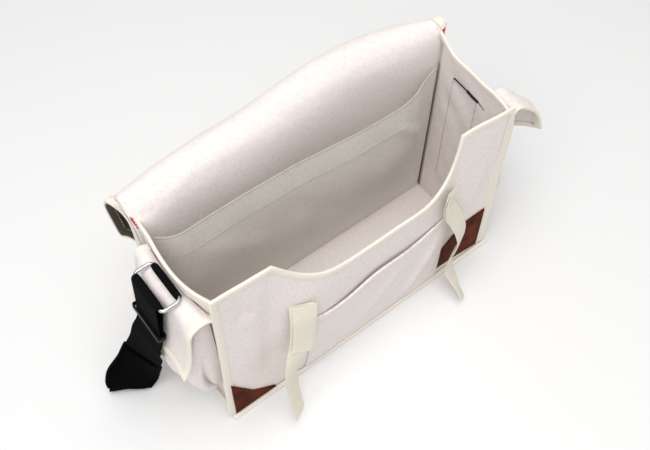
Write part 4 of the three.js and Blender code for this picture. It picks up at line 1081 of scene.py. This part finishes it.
def route(table, per_row):
    """A smooth line through a table's rows: its points, its way along and the way its width points."""
    rows = point(table["x"], table["y"], table["z"])
    knots = np.array([2 * rows[0] - rows[1], *rows, 2 * rows[-1] - rows[-2]])
    gap = np.sqrt(np.linalg.norm(np.diff(knots, axis=0), axis=1))[:, None]
    share = np.linspace(0, len(rows) - 1, per_row * (len(rows) - 1) + 1)
    i = np.minimum(share.astype(int), len(rows) - 2)
    t = (share - i)[:, None]
    a, b, c, d = (knots[i + k] for k in range(4))
    before, here, after = (gap[i + k] for k in range(3))
    start = here * ((b - a) / before - (c - a) / (before + here) + (c - b) / here)
    stop = here * ((c - b) / here - (d - b) / (here + after) + (d - c) / after)
    at = (2 * (b - c) + start + stop) * t ** 3 + (3 * (c - b) - 2 * start - stop) * t ** 2 + start * t + b
    along = unit(np.gradient(at, axis=0))
    turn = np.radians(smooth_curve(np.arange(len(rows)), table["turn"], share))
    width = point(np.cos(turn), np.sin(turn), 0)
    width = unit(width - along * np.sum(width * along, axis=1, keepdims=True))
    return at, along, width


def webbing_section(width, thick):
    """Outline across the webbing, flat with rounded selvedges, as (thickness, width)."""
    share = np.linspace(-1, 1, SELVEDGE["points"])
    bulge = thick / 2 * np.sqrt(np.clip(1 - np.abs(share) ** SELVEDGE["power"], SELVEDGE["least"], 1))
    face = np.stack([bulge, share * width / 2], axis=1)
    return np.concatenate([face, face[::-1] * (-1, 1)])


def webbing_band(name, at, along, width_way, width, thick, finish):
    """Webbing along a line; thick may change from station to station."""
    thick = np.broadcast_to(thick, (len(at),))
    sections = np.stack([webbing_section(width, t) for t in thick])
    return sweep(name, sections, at, np.cross(width_way, along), width_way, finish)


ECRU = webbing_finish("ecru_webbing", ECRU_LIGHT, ECRU_DARK, rib=1.3, rough=0.9, sheen=0.15, gloss=0.3)
for seed, (name, table) in enumerate(CLOSING_STRAPS.items(), 40):
    at, along, width = route(table, CLOSING_STEPS)
    run = run_lengths(at, 0)
    folded = 1 - smooth_step(run, HEAD_FOLD["length"], HEAD_FOLD["length"] + HEAD_FOLD["ramp"])
    thick = WEBBING + HEAD_FOLD["thick"] * folded
    strap = webbing_band(f"{name}_strap", at, along, width, CLOSING_WIDTH, thick, ECRU)
    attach(strap, "root")
    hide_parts(f"{name}_closing_strap")
    outward = np.cross(width, along)
    outward *= np.sign(-outward[:1, 1:2])
    over = at + outward * (WEBBING + DOUBLED_GAP) + width * DOUBLED[name]["aside"]
    lines = [line[run < DOUBLED[name]["length"]] for line in (over, along, width)]
    turned = webbing_band(f"{name}_strap_end", *lines, CLOSING_WIDTH, WEBBING, ECRU)
    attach(turned, "root")
    rows = []
    for down in HEAD_ROWS:
        k = int(np.searchsorted(run, down))
        aside = CLOSING_WIDTH * np.linspace(-HEAD_ROW["half"], HEAD_ROW["half"], HEAD_ROW["points"])[:, None]
        stand = WEBBING * 3 / 2 + DOUBLED_GAP
        rows.append((at[k] + width[k] * aside + outward[k] * stand, outward[k]))
    strap_stitches = sew(f"{name}_strap_stitches", rows, THREAD, seed, **HEAD_STITCH)
    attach(strap_stitches, "root")

# End pockets: pouches of canvas on both ends, with a pleat down each side so that they can fill out.
# They are closed below, hemmed along the mouth and sewn to the end panel by their edges.
POCKET_Y = -2
POCKET_HALF = 50
POCKET_STAND = 2.4
POCKET_HALF_PLAN = {
    "out": (0, 0.36, 0.52, 0.7, 0.94, 1.02, 1.05),
    "pleat": (-1, -1, -0.84, -1.03, -0.9, -0.45, 0),
    "plain": (-1, -1, -1, -1, -0.9, -0.45, 0),
}
POCKET_PLEAT = (0.38, 0.78)
POCKET_RISE = {
    "left": {"z": (72, 78, 90, 116, 148, 190, 226), "deep": (1.5, 18, 30, 36, 34, 25, 17)},
    "right": {"z": (64, 70, 84, 112, 145, 175, 205), "deep": (1.5, 12, 22, 25, 19, 12, 7)},
}
POCKET_WIDTHS = {"width": (0.9, 0.97, 1, 1.03, 1.02, 1, 0.97)}
POCKET_HEM = {"deep": 14, "thick": 0.8, "ramp": 2, "seam": 12, "stitch_stand": 0.3}
POCKET_GRID = (150, 80)
POCKET_SEAM = {"count": 120, "clear": 0.03}
POCKET_ROW_STEP = 0.01
POCKET_SLACK = {"face": (0.6, 0.95), "foot": (0.1, 0.3)}
POCKET_DENT = {"size": 34, "deep": 0.9, "seed": {"left": 51, "right": 52}}
POCKET_FOLDS = (
    {"from": (-26, 92), "to": (-10, 150), "wide": 6, "deep": 2.2},
    {"from": (8, 74), "to": (20, 128), "wide": 7, "deep": -2.0},
    {"from": (34, 90), "to": (26, 160), "wide": 6, "deep": 1.8},
)


def pocket_surface(name):
    half = POCKET_HALF_PLAN
    plan = {"out": half["out"] + half["out"][-2::-1]}
    for column in ("pleat", "plain"):
        plan[column] = half[column] + tuple(-a for a in half[column][-2::-1])

    def surface(u, v):
        z = read_row(POCKET_RISE[name], "z", v)
        plain = smooth_step(v, *POCKET_PLEAT)
        across = read_row(plan, "pleat", u) * (1 - plain) + read_row(plan, "plain", u) * plain
        y = POCKET_Y + POCKET_HALF * read_row(POCKET_WIDTHS, "width", v) * across
        share = read_row(plan, "out", u)
        slack = smooth_step(share, *POCKET_SLACK["face"]) * smooth_step(v, *POCKET_SLACK["foot"])
        dents = POCKET_DENT["deep"] * soft_dents(y, z, POCKET_DENT["size"], POCKET_DENT["seed"][name])
        loose = slack * (dents + folds(POCKET_FOLDS, y, z))
        out = end_face(name, y, z) + POCKET_STAND + read_row(POCKET_RISE[name], "deep", v) * share + loose
        return point(SIDES[name] * out, y, z)
    return surface


pocket_vs = even(POCKET_GRID[1])
for seed, name in enumerate(SIDES, 54):
    skin = pocket_surface(name)
    below = POCKET_RISE[name]["z"][-1] - read_row(POCKET_RISE[name], "z", pocket_vs)
    grid = lay_out(skin, even(POCKET_GRID[0]), pocket_vs)
    pocket = cloth_wall(f"{name}_end_pocket", grid, hem_thick(below, POCKET_HEM), CANVAS)
    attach(pocket, "root")
    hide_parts(f"{name}_pocket")
    row = float(np.interp(POCKET_HEM["seam"], below[::-1], pocket_vs[::-1]))
    line = row_line(skin, row, **POCKET_SEAM)
    upward = row_line(skin, row + POCKET_ROW_STEP, **POCKET_SEAM) - line
    facing = unit(np.cross(upward, np.gradient(line, axis=0)))
    facing *= SIDES[name] * np.sign(facing[len(line) // 2, 0])
    line = line + facing * (CLOTH / 2 + POCKET_HEM["stitch_stand"])
    pocket_stitches = sew(f"{name}_pocket_stitches", [(line, facing)], THREAD, seed)
    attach(pocket_stitches, "root")

# Pocket flaps: canvas lids sewn under the tops of the ends, which fold out and down over the pockets.
# Narrow cream tape is folded over their three free edges.
FLAP_SEAM_Z = 240
FLAP_FRONT = -60
FLAP_BACK = 52
LID_LAP = 7
LID_TALL = 110
LID_GRID = (80, 80)
LID_SLACK = {"seam": (0.15, 0.4), "front": (0.04, 0.2), "back": (-0.96, -0.8)}
LID_PLACES = {
    "left": {"at": (0, 0.24, 0.72, 1), "section": ("front", "mid", "mid", "back")},
    "right": {
        "at": (0, 0.13, 0.22, 0.36, 0.42, 0.48, 1),
        "section": ("front", "next", "fore", "crest", "mid", "back", "back"),
    },
}
POCKET_FLAPS = {
    "left": {
        "front": {
            "out": (3, 11, 21, 29, 32, 34, 37, 42, 48),
            "z": (236, 241, 240, 233, 221, 204, 185, 169, 160),
        },
        "mid": {
            "out": (3, 9, 16, 23, 27, 29, 32, 36, 41),
            "z": (237, 240, 239, 234, 222, 205, 187, 171, 161),
        },
        "back": {
            "out": (3, 9, 14, 17, 18.5, 22, 27, 33, 39),
            "z": (236, 239, 237, 229, 217, 202, 186, 173, 164),
        },
    },
    "right": {
        "front": {
            "out": (3, 8, 16, 26, 38, 50, 60, 67),
            "z": (256, 262, 260, 252, 241, 227, 208, 190),
        },
        "next": {
            "out": (3, 9, 18, 29, 41, 52, 60, 63),
            "z": (253, 259, 259, 253, 243, 229, 207, 183),
        },
        "fore": {
            "out": (3, 9, 17, 27, 38, 47, 52, 53),
            "z": (250, 257, 257, 252, 242, 226, 205, 182),
        },
        "crest": {
            "out": (3, 8, 15, 24, 32, 38, 39, 37),
            "z": (247, 254, 255, 249, 238, 220, 200, 179),
        },
        "mid": {
            "out": (3, 6.4, 10.4, 15, 20, 26, 34, 42),
            "z": (232, 236, 232, 223, 210, 197, 183, 171),
        },
        "back": {
            "out": (3, 6, 9, 12, 16, 21, 28, 36),
            "z": (229, 231, 226, 216, 203, 191, 179, 168),
        },
    },
}
FLAP_DENT = {"size": 40, "deep": 0.6, "seed": {"left": 61, "right": 62}}


def pocket_flap_surface(name):
    places = LID_PLACES[name]["at"]
    sections = [POCKET_FLAPS[name][key] for key in LID_PLACES[name]["section"]]

    def read(column, u, v):
        return smooth_curve(places, [read_row(rows, column, v) for rows in sections], u)

    def surface(u, v):
        y = FLAP_FRONT + (FLAP_BACK - FLAP_FRONT) * u
        slack = smooth_step(u, *LID_SLACK["front"]) * smooth_step(-u, *LID_SLACK["back"])
        slack = slack * smooth_step(v, *LID_SLACK["seam"])
        dents = FLAP_DENT["deep"] * soft_dents(y, v * LID_TALL, FLAP_DENT["size"], FLAP_DENT["seed"][name])
        out = end_face(name, y, FLAP_SEAM_Z) + read("out", u, v) + slack * dents
        return point(SIDES[name] * out, y, read("z", u, v))
    return surface


POCKET_FLAP_STOPS = ((1, 0), (1, 1), (0, 1), (0, 0))
for seed, name in enumerate(SIDES, 64):
    skin = pocket_flap_surface(name)
    lid = cloth_wall(f"{name}_flap", lay_out(skin, *map(even, LID_GRID)), CLOTH, CANVAS)
    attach(lid, "root")
    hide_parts(f"{name}_pocket_flap")
    lid_tape, lid_seams = tape(f"{name}_flap_tape", skin, POCKET_FLAP_STOPS, ((0, LID_LAP),), TAPE_CLOTH)
    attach(lid_tape, "root")
    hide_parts(f"{name}_pocket_flap_binding")
    lid_stitches = sew(f"{name}_flap_stitches", lid_seams, THREAD, seed)
    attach(lid_stitches, "root")

# Rings and anchors: bent steel wire rings, each held to an end panel by a short loop of black webbing.
# The webbing is folded round the ring's inner bar and sewn under the end's top tape.
WIRE = 4
RING_BEND = 5
RING_HALF = 27
WIRE_SIDES = 16
RING_BEND_STEPS = 10
RINGS = {
    "left": {"y": -1, "inner": (9.5, 246), "outer": (31, 245), "root": (6.8, 247)},
    "right": {"y": 18, "inner": (9.5, 239), "outer": (20.5, 215), "root": (3.2, 247)},
}
ANCHOR = {"width": 46, "thick": 1.5, "gap": 0.4, "pinch": 0.55, "turn_points": 15, "points": 80}
ANCHOR_TURN = WIRE / 2 + ANCHOR["gap"] + WEBBING / 2
ALONG_BAR = np.array((0.0, 1, 0))
STEEL_COLOUR = (0.62, 0.63, 0.645, 1)
BLACK_LIGHT = (0.006, 0.006, 0.0065, 1)
BLACK_DARK = (0.0015, 0.0015, 0.002, 1)


def steel_finish():
    """Nickelled wire: bright metal with fine rubbed marks."""
    finish, tree = new_finish("steel_wire")
    rubbed = object_noise(tree, scale=700.0, detail=4.0)
    rough = add(tree, "ShaderNodeMapRange", Value=rubbed, To_Min=0.14, To_Max=0.34).outputs["Result"]
    coat(tree, Base_Color=STEEL_COLOUR, Metallic=1.0, Roughness=rough, Normal=raised(tree, rubbed, 0.08, 0.1))
    return finish


def ring_face(name):
    """How far out the end panel is behind a ring."""
    return float(end_face(name, RINGS[name]["y"], FLAP_SEAM_Z))


def at_ring(name, out, z):
    """A place in a ring's middle plane."""
    return np.array((SIDES[name] * (ring_face(name) + out), RINGS[name]["y"], z), float)


def loop_stations(centre, wide, deep, half_wide, half_deep, bend, steps):
    """Stations round a rectangle with rounded corners."""
    corner = np.repeat([(1, 1), (-1, 1), (-1, -1), (1, -1)], steps + 1, axis=0)
    quarters = [start + np.linspace(0, 90, steps + 1) for start in (0, 90, 180, 270)]
    angle = np.radians(np.concatenate(quarters))[:, None]
    out = wide * np.cos(angle) + deep * np.sin(angle)
    middles = wide * corner[:, :1] * (half_wide - bend) + deep * corner[:, 1:] * (half_deep - bend)
    at = centre + middles + bend * out
    return at, np.broadcast_to(np.cross(wide, deep), at.shape), out


def round_section(radius, sides):
    """The outline of a round wire or cord."""
    turns = np.linspace(0, 2 * np.pi, sides, endpoint=False)
    return radius * np.stack([np.cos(turns), np.sin(turns)], axis=1)


STEEL = steel_finish()
BLACK = webbing_finish("black_webbing", BLACK_LIGHT, BLACK_DARK, rib=1.5, rough=0.8, sheen=0, gloss=0.02)
for name, ring in RINGS.items():
    inner, outer = at_ring(name, *ring["inner"]), at_ring(name, *ring["outer"])
    deep = outer - inner
    half_deep = np.linalg.norm(deep) / 2
    stations = loop_stations((inner + outer) / 2, ALONG_BAR, unit(deep), RING_HALF, half_deep, RING_BEND,
                             RING_BEND_STEPS)
    wire = round_section(WIRE / 2, WIRE_SIDES)
    wire_ring = sweep(f"{name}_wire_ring", wire, *stations, STEEL, closed=True)
    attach(wire_ring, "root")
    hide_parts(f"{name}_ring")

    root = at_ring(name, *ring["root"])
    along = unit(inner - root)
    up = np.cross(along, ALONG_BAR) * -SIDES[name]
    angle = np.radians(np.linspace(90, -90, ANCHOR["turn_points"]))[:, None]
    turn = inner + ANCHOR_TURN * (np.cos(angle) * along + np.sin(angle) * up)
    pinch = up * ANCHOR["pinch"] * ANCHOR_TURN
    corners = np.concatenate([[root + pinch], turn, [root - pinch]])
    fine = np.linspace(0, len(corners) - 1, ANCHOR["points"])
    line = np.stack([np.interp(fine, np.arange(len(corners)), column) for column in corners.T], axis=1)
    ways = np.broadcast_to(ALONG_BAR, line.shape)
    loop = webbing_band(f"{name}_ring_loop", line, unit(np.gradient(line, axis=0)), ways,
                        ANCHOR["width"], ANCHOR["thick"], BLACK)
    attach(loop, "root")
    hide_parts(f"{name}_anchor")

# Shoulder strap: one length of black webbing, turned round the left ring and sewn back on itself.
# It falls to the floor, lies round behind the bag and rises to the right ring, where it is turned too.
STRAP_WIDTH = 47
STRAP_GAP = 0.8
STRAP_TURN = WIRE / 2 + STRAP_GAP + WEBBING / 2
STRAP_TURN_ROWS = 5
STRAP_LEFT_TAIL = {"out": (41.4, 38.6, 36.6), "y": (0, -1, -1), "z": (186, 207, 228), "turn": (90, 90, 90)}
STRAP_LEFT_FALL = {
    "out": (30.6, 34.8, 37.8, 42.6, 48),
    "y": (-1, -1, 0, 2, 4.6),
    "z": (228, 207, 188, 170, 155),
    "turn": (90, 90, 90, 92, 95),
}
STRAP_FLOOR = {
    "x": (-253.5, -259.5, -265.5, -274.5, -282.6, -286, -284.5, -275, -244, -194, -145, -60, 60,
          160, 210, 245, 268, 280, 279, 269, 260),
    "y": (9.4, 17, 26, 33.5, 37, 38, 44, 57, 77, 107, 125, 130, 130, 129, 118, 95, 70, 58, 51, 40, 28),
    "z": (130, 104, 74, 46, 22, 9, 2.4, 1.6, 1.6, 1.6, 1.6, 1.6, 1.6, 1.6, 1.6, 2, 4, 15, 34, 75, 120),
    "turn": (106, 116, 130, 143, 149, 150, 150, 132, 120, 116, 98, 90, 90, 86, 64, 54, 56, 60, 66, 76, 86),
}
STRAP_RIGHT_RISE = {
    "out": (53, 46.5, 35, 24.5), "y": (21, 18, 18, 18), "z": (148, 169, 183, 197), "turn": (90, 90, 90, 90)}
STRAP_RIGHT_TAIL = {"out": (29.5, 38.5), "y": (18, 18), "z": (204, 190), "turn": (90, 90)}
STRAP_STEPS = 12


def ring_turn(name, start, stop):
    """Rows of the strap round a ring's outer bar."""
    angle = np.radians(np.linspace(start, stop, STRAP_TURN_ROWS))
    out, z = RINGS[name]["outer"]
    return {
        "out": tuple(out + STRAP_TURN * np.cos(angle)),
        "y": (RINGS[name]["y"],) * STRAP_TURN_ROWS,
        "z": tuple(z + STRAP_TURN * np.sin(angle)),
        "turn": (90,) * STRAP_TURN_ROWS,
    }


def placed(name, *tables):
    """Rows measured out from an end panel, as rows with x."""
    rows = {key: sum((tuple(table[key]) for table in tables), ()) for key in ("out", "y", "z", "turn")}
    rows["x"] = tuple(SIDES[name] * (ring_face(name) + out) for out in rows.pop("out"))
    return rows


strap_start = placed("left", STRAP_LEFT_TAIL, ring_turn("left", 0, 180), STRAP_LEFT_FALL)
strap_end = placed("right", STRAP_RIGHT_RISE, ring_turn("right", 180, 0), STRAP_RIGHT_TAIL)
strap_rows = {key: strap_start[key] + STRAP_FLOOR[key] + strap_end[key] for key in ("x", "y", "z", "turn")}
strap_at, strap_along, strap_width = route(strap_rows, STRAP_STEPS)
shoulder_strap = webbing_band("black_strap", strap_at, strap_along, strap_width, STRAP_WIDTH, WEBBING, BLACK)
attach(shoulder_strap, "root")
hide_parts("shoulder_strap")

# Shoulder pad: a padded sleeve of black woven cloth that slides on the strap, now down beside the bag.
# Foam fills it between two faces, and a piped seam runs along both long edges.
PAD_WIDTHS = {"row": (0.9, 2, 3.1, 4, 4.7), "width": (51, 53, 61, 58, 52)}
PAD_THICK = 9.5
PAD_SLOT = {"half_wide": 24.2, "half_thick": 1.5}
PAD_PIPING = 1.7
PAD_GROOVE = {"at": 0.84, "wide": 0.05, "deep": 0.28}
PAD_END = {"length": 10, "least": 0.5}
PAD_OUTLINE = {"points": 64, "wide_power": 0.55, "deep_power": 0.75}
PIPING_SIDES = 10
PAD_LIGHT = (0.0012, 0.0012, 0.0014, 1)
PAD_DARK = (0.0004, 0.0004, 0.0005, 1)


def pad_section(width, thick):
    """Outlines of the pad and of the slot through it, as (thickness, width)."""
    turn = np.linspace(0, 2 * np.pi, PAD_OUTLINE["points"], endpoint=False)
    wide = np.sign(np.sin(turn)) * np.abs(np.sin(turn)) ** PAD_OUTLINE["wide_power"]
    deep = np.sign(np.cos(turn)) * np.abs(np.cos(turn)) ** PAD_OUTLINE["deep_power"]
    groove = 1 - PAD_GROOVE["deep"] * np.exp(-((np.abs(wide) - PAD_GROOVE["at"]) / PAD_GROOVE["wide"]) ** 2)
    outer = np.stack([deep * groove * thick / 2, wide * (width / 2 - PAD_PIPING)], axis=1)
    slot = np.stack([deep * PAD_SLOT["half_thick"], wide * PAD_SLOT["half_wide"]], axis=1)
    return outer, slot


def tube(name, outer, inner, at, across, out, finish):
    """A sleeve with an outer and an inner outline at each station, joined at both ends."""
    count = outer.shape[1]
    shells = [at[:, None] + s[..., :1] * across[:, None] + s[..., 1:] * out[:, None] for s in (outer, inner)]
    skin = quads(len(at), count, True, False)
    total = len(at) * count
    faces = [skin, skin[:, ::-1] + total]
    ring = np.arange(count)
    after = (ring + 1) % count
    for first, flip in ((0, True), ((len(at) - 1) * count, False)):
        cap = np.stack([ring, after, total + after, total + ring], axis=1) + first
        faces.append(cap[:, ::-1] if flip else cap)
    around = run_lengths(outer, 1)
    flat = np.stack([np.broadcast_to(run_lengths(at, 0)[:, None], around.shape), around], axis=-1)
    vertices = np.concatenate(shells)
    return make_piece(name, vertices, np.concatenate(faces), np.concatenate([flat, flat]), finish)


PAD_CLOTH = webbing_finish("black_pad_cloth", PAD_LIGHT, PAD_DARK, rib=0.9, rough=0.85, sheen=0, gloss=0.02)
pad_steps = np.arange(len(strap_at)) / STRAP_STEPS - len(strap_start["x"])
pad_part = (pad_steps >= PAD_WIDTHS["row"][0]) & (pad_steps <= PAD_WIDTHS["row"][-1])
pad_at, pad_along, pad_width = (array[pad_part] for array in (strap_at, strap_along, strap_width))
pad_wide = smooth_curve(PAD_WIDTHS["row"], PAD_WIDTHS["width"], pad_steps[pad_part])
pad_across = np.cross(pad_width, pad_along)
pad_run = run_lengths(pad_at, 0)
pad_from_end = np.minimum(np.minimum(pad_run, pad_run[-1] - pad_run) / PAD_END["length"], 1)
pad_full = PAD_END["least"] + (1 - PAD_END["least"]) * np.sqrt(1 - (1 - pad_from_end) ** 2)
pad_sections = [pad_section(wide, PAD_THICK * full) for wide, full in zip(pad_wide, pad_full)]
pad_outer, pad_slot = (np.stack(outlines) for outlines in zip(*pad_sections))
pad = tube("shoulder_cushion", pad_outer, pad_slot, pad_at, pad_across, pad_width, PAD_CLOTH)
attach(pad, "root")
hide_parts("shoulder_pad")
cord_section = round_section(PAD_PIPING, PIPING_SIDES)
for name, side in (("front", -1), ("rear", 1)):
    edge = pad_at + side * pad_width * (pad_wide[:, None] / 2 - PAD_PIPING)
    piping = sweep(f"pad_piping_{name}", cord_section, edge, pad_across, pad_width, BLACK)
    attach(piping, "root")

# Strap keeper: a flat loop of black painted metal that holds the strap's sewn end against the strap.
# It is bent from strip, and bright steel shows where its paint has worn off.
KEEPER = {"out": 38.9, "z": 196, "half_thick": 4.2, "bar": 1.6, "length": 7, "bend": 1.6, "play": 1.6}
KEEPER_BEND_STEPS = 6
KEEPER_STRIP = np.array(
    [(-1, -0.6), (-0.86, -1), (0.86, -1), (1, -0.6), (1, 0.6), (0.86, 1), (-0.86, 1), (-1, 0.6)])
KEEPER_BLACK = (0.003, 0.003, 0.0035, 1)


def keeper_finish():
    """Black paint worn through to steel in spots."""
    finish, tree = new_finish("keeper_paint")
    rubbed = object_noise(tree, scale=260.0, detail=3.0)
    bare = add(tree, "ShaderNodeMapRange", Value=rubbed, From_Min=0.70, From_Max=0.74).outputs["Result"]
    colour = blend(tree, bare, KEEPER_BLACK, STEEL_COLOUR)
    coat(tree, Base_Color=colour, Metallic=bare, Roughness=0.45, Specular_IOR_Level=0.12)
    return finish


KEEPER_PAINT = keeper_finish()
high, low = (at_ring("left", STRAP_LEFT_FALL["out"][k], STRAP_LEFT_FALL["z"][k]) for k in (1, 2))
down = unit(low - high)
keeper_half = STRAP_WIDTH / 2 + KEEPER["play"] + KEEPER["bar"] / 2
keeper_stations = loop_stations(
    at_ring("left", KEEPER["out"], KEEPER["z"]), ALONG_BAR, np.cross(down, ALONG_BAR),
    keeper_half, KEEPER["half_thick"], KEEPER["bend"], KEEPER_BEND_STEPS)
keeper_strip = KEEPER_STRIP * (KEEPER["length"] / 2, KEEPER["bar"] / 2)
keeper = sweep("metal_keeper", keeper_strip, *keeper_stations, KEEPER_PAINT, closed=True)
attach(keeper, "root")
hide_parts("strap_keeper")
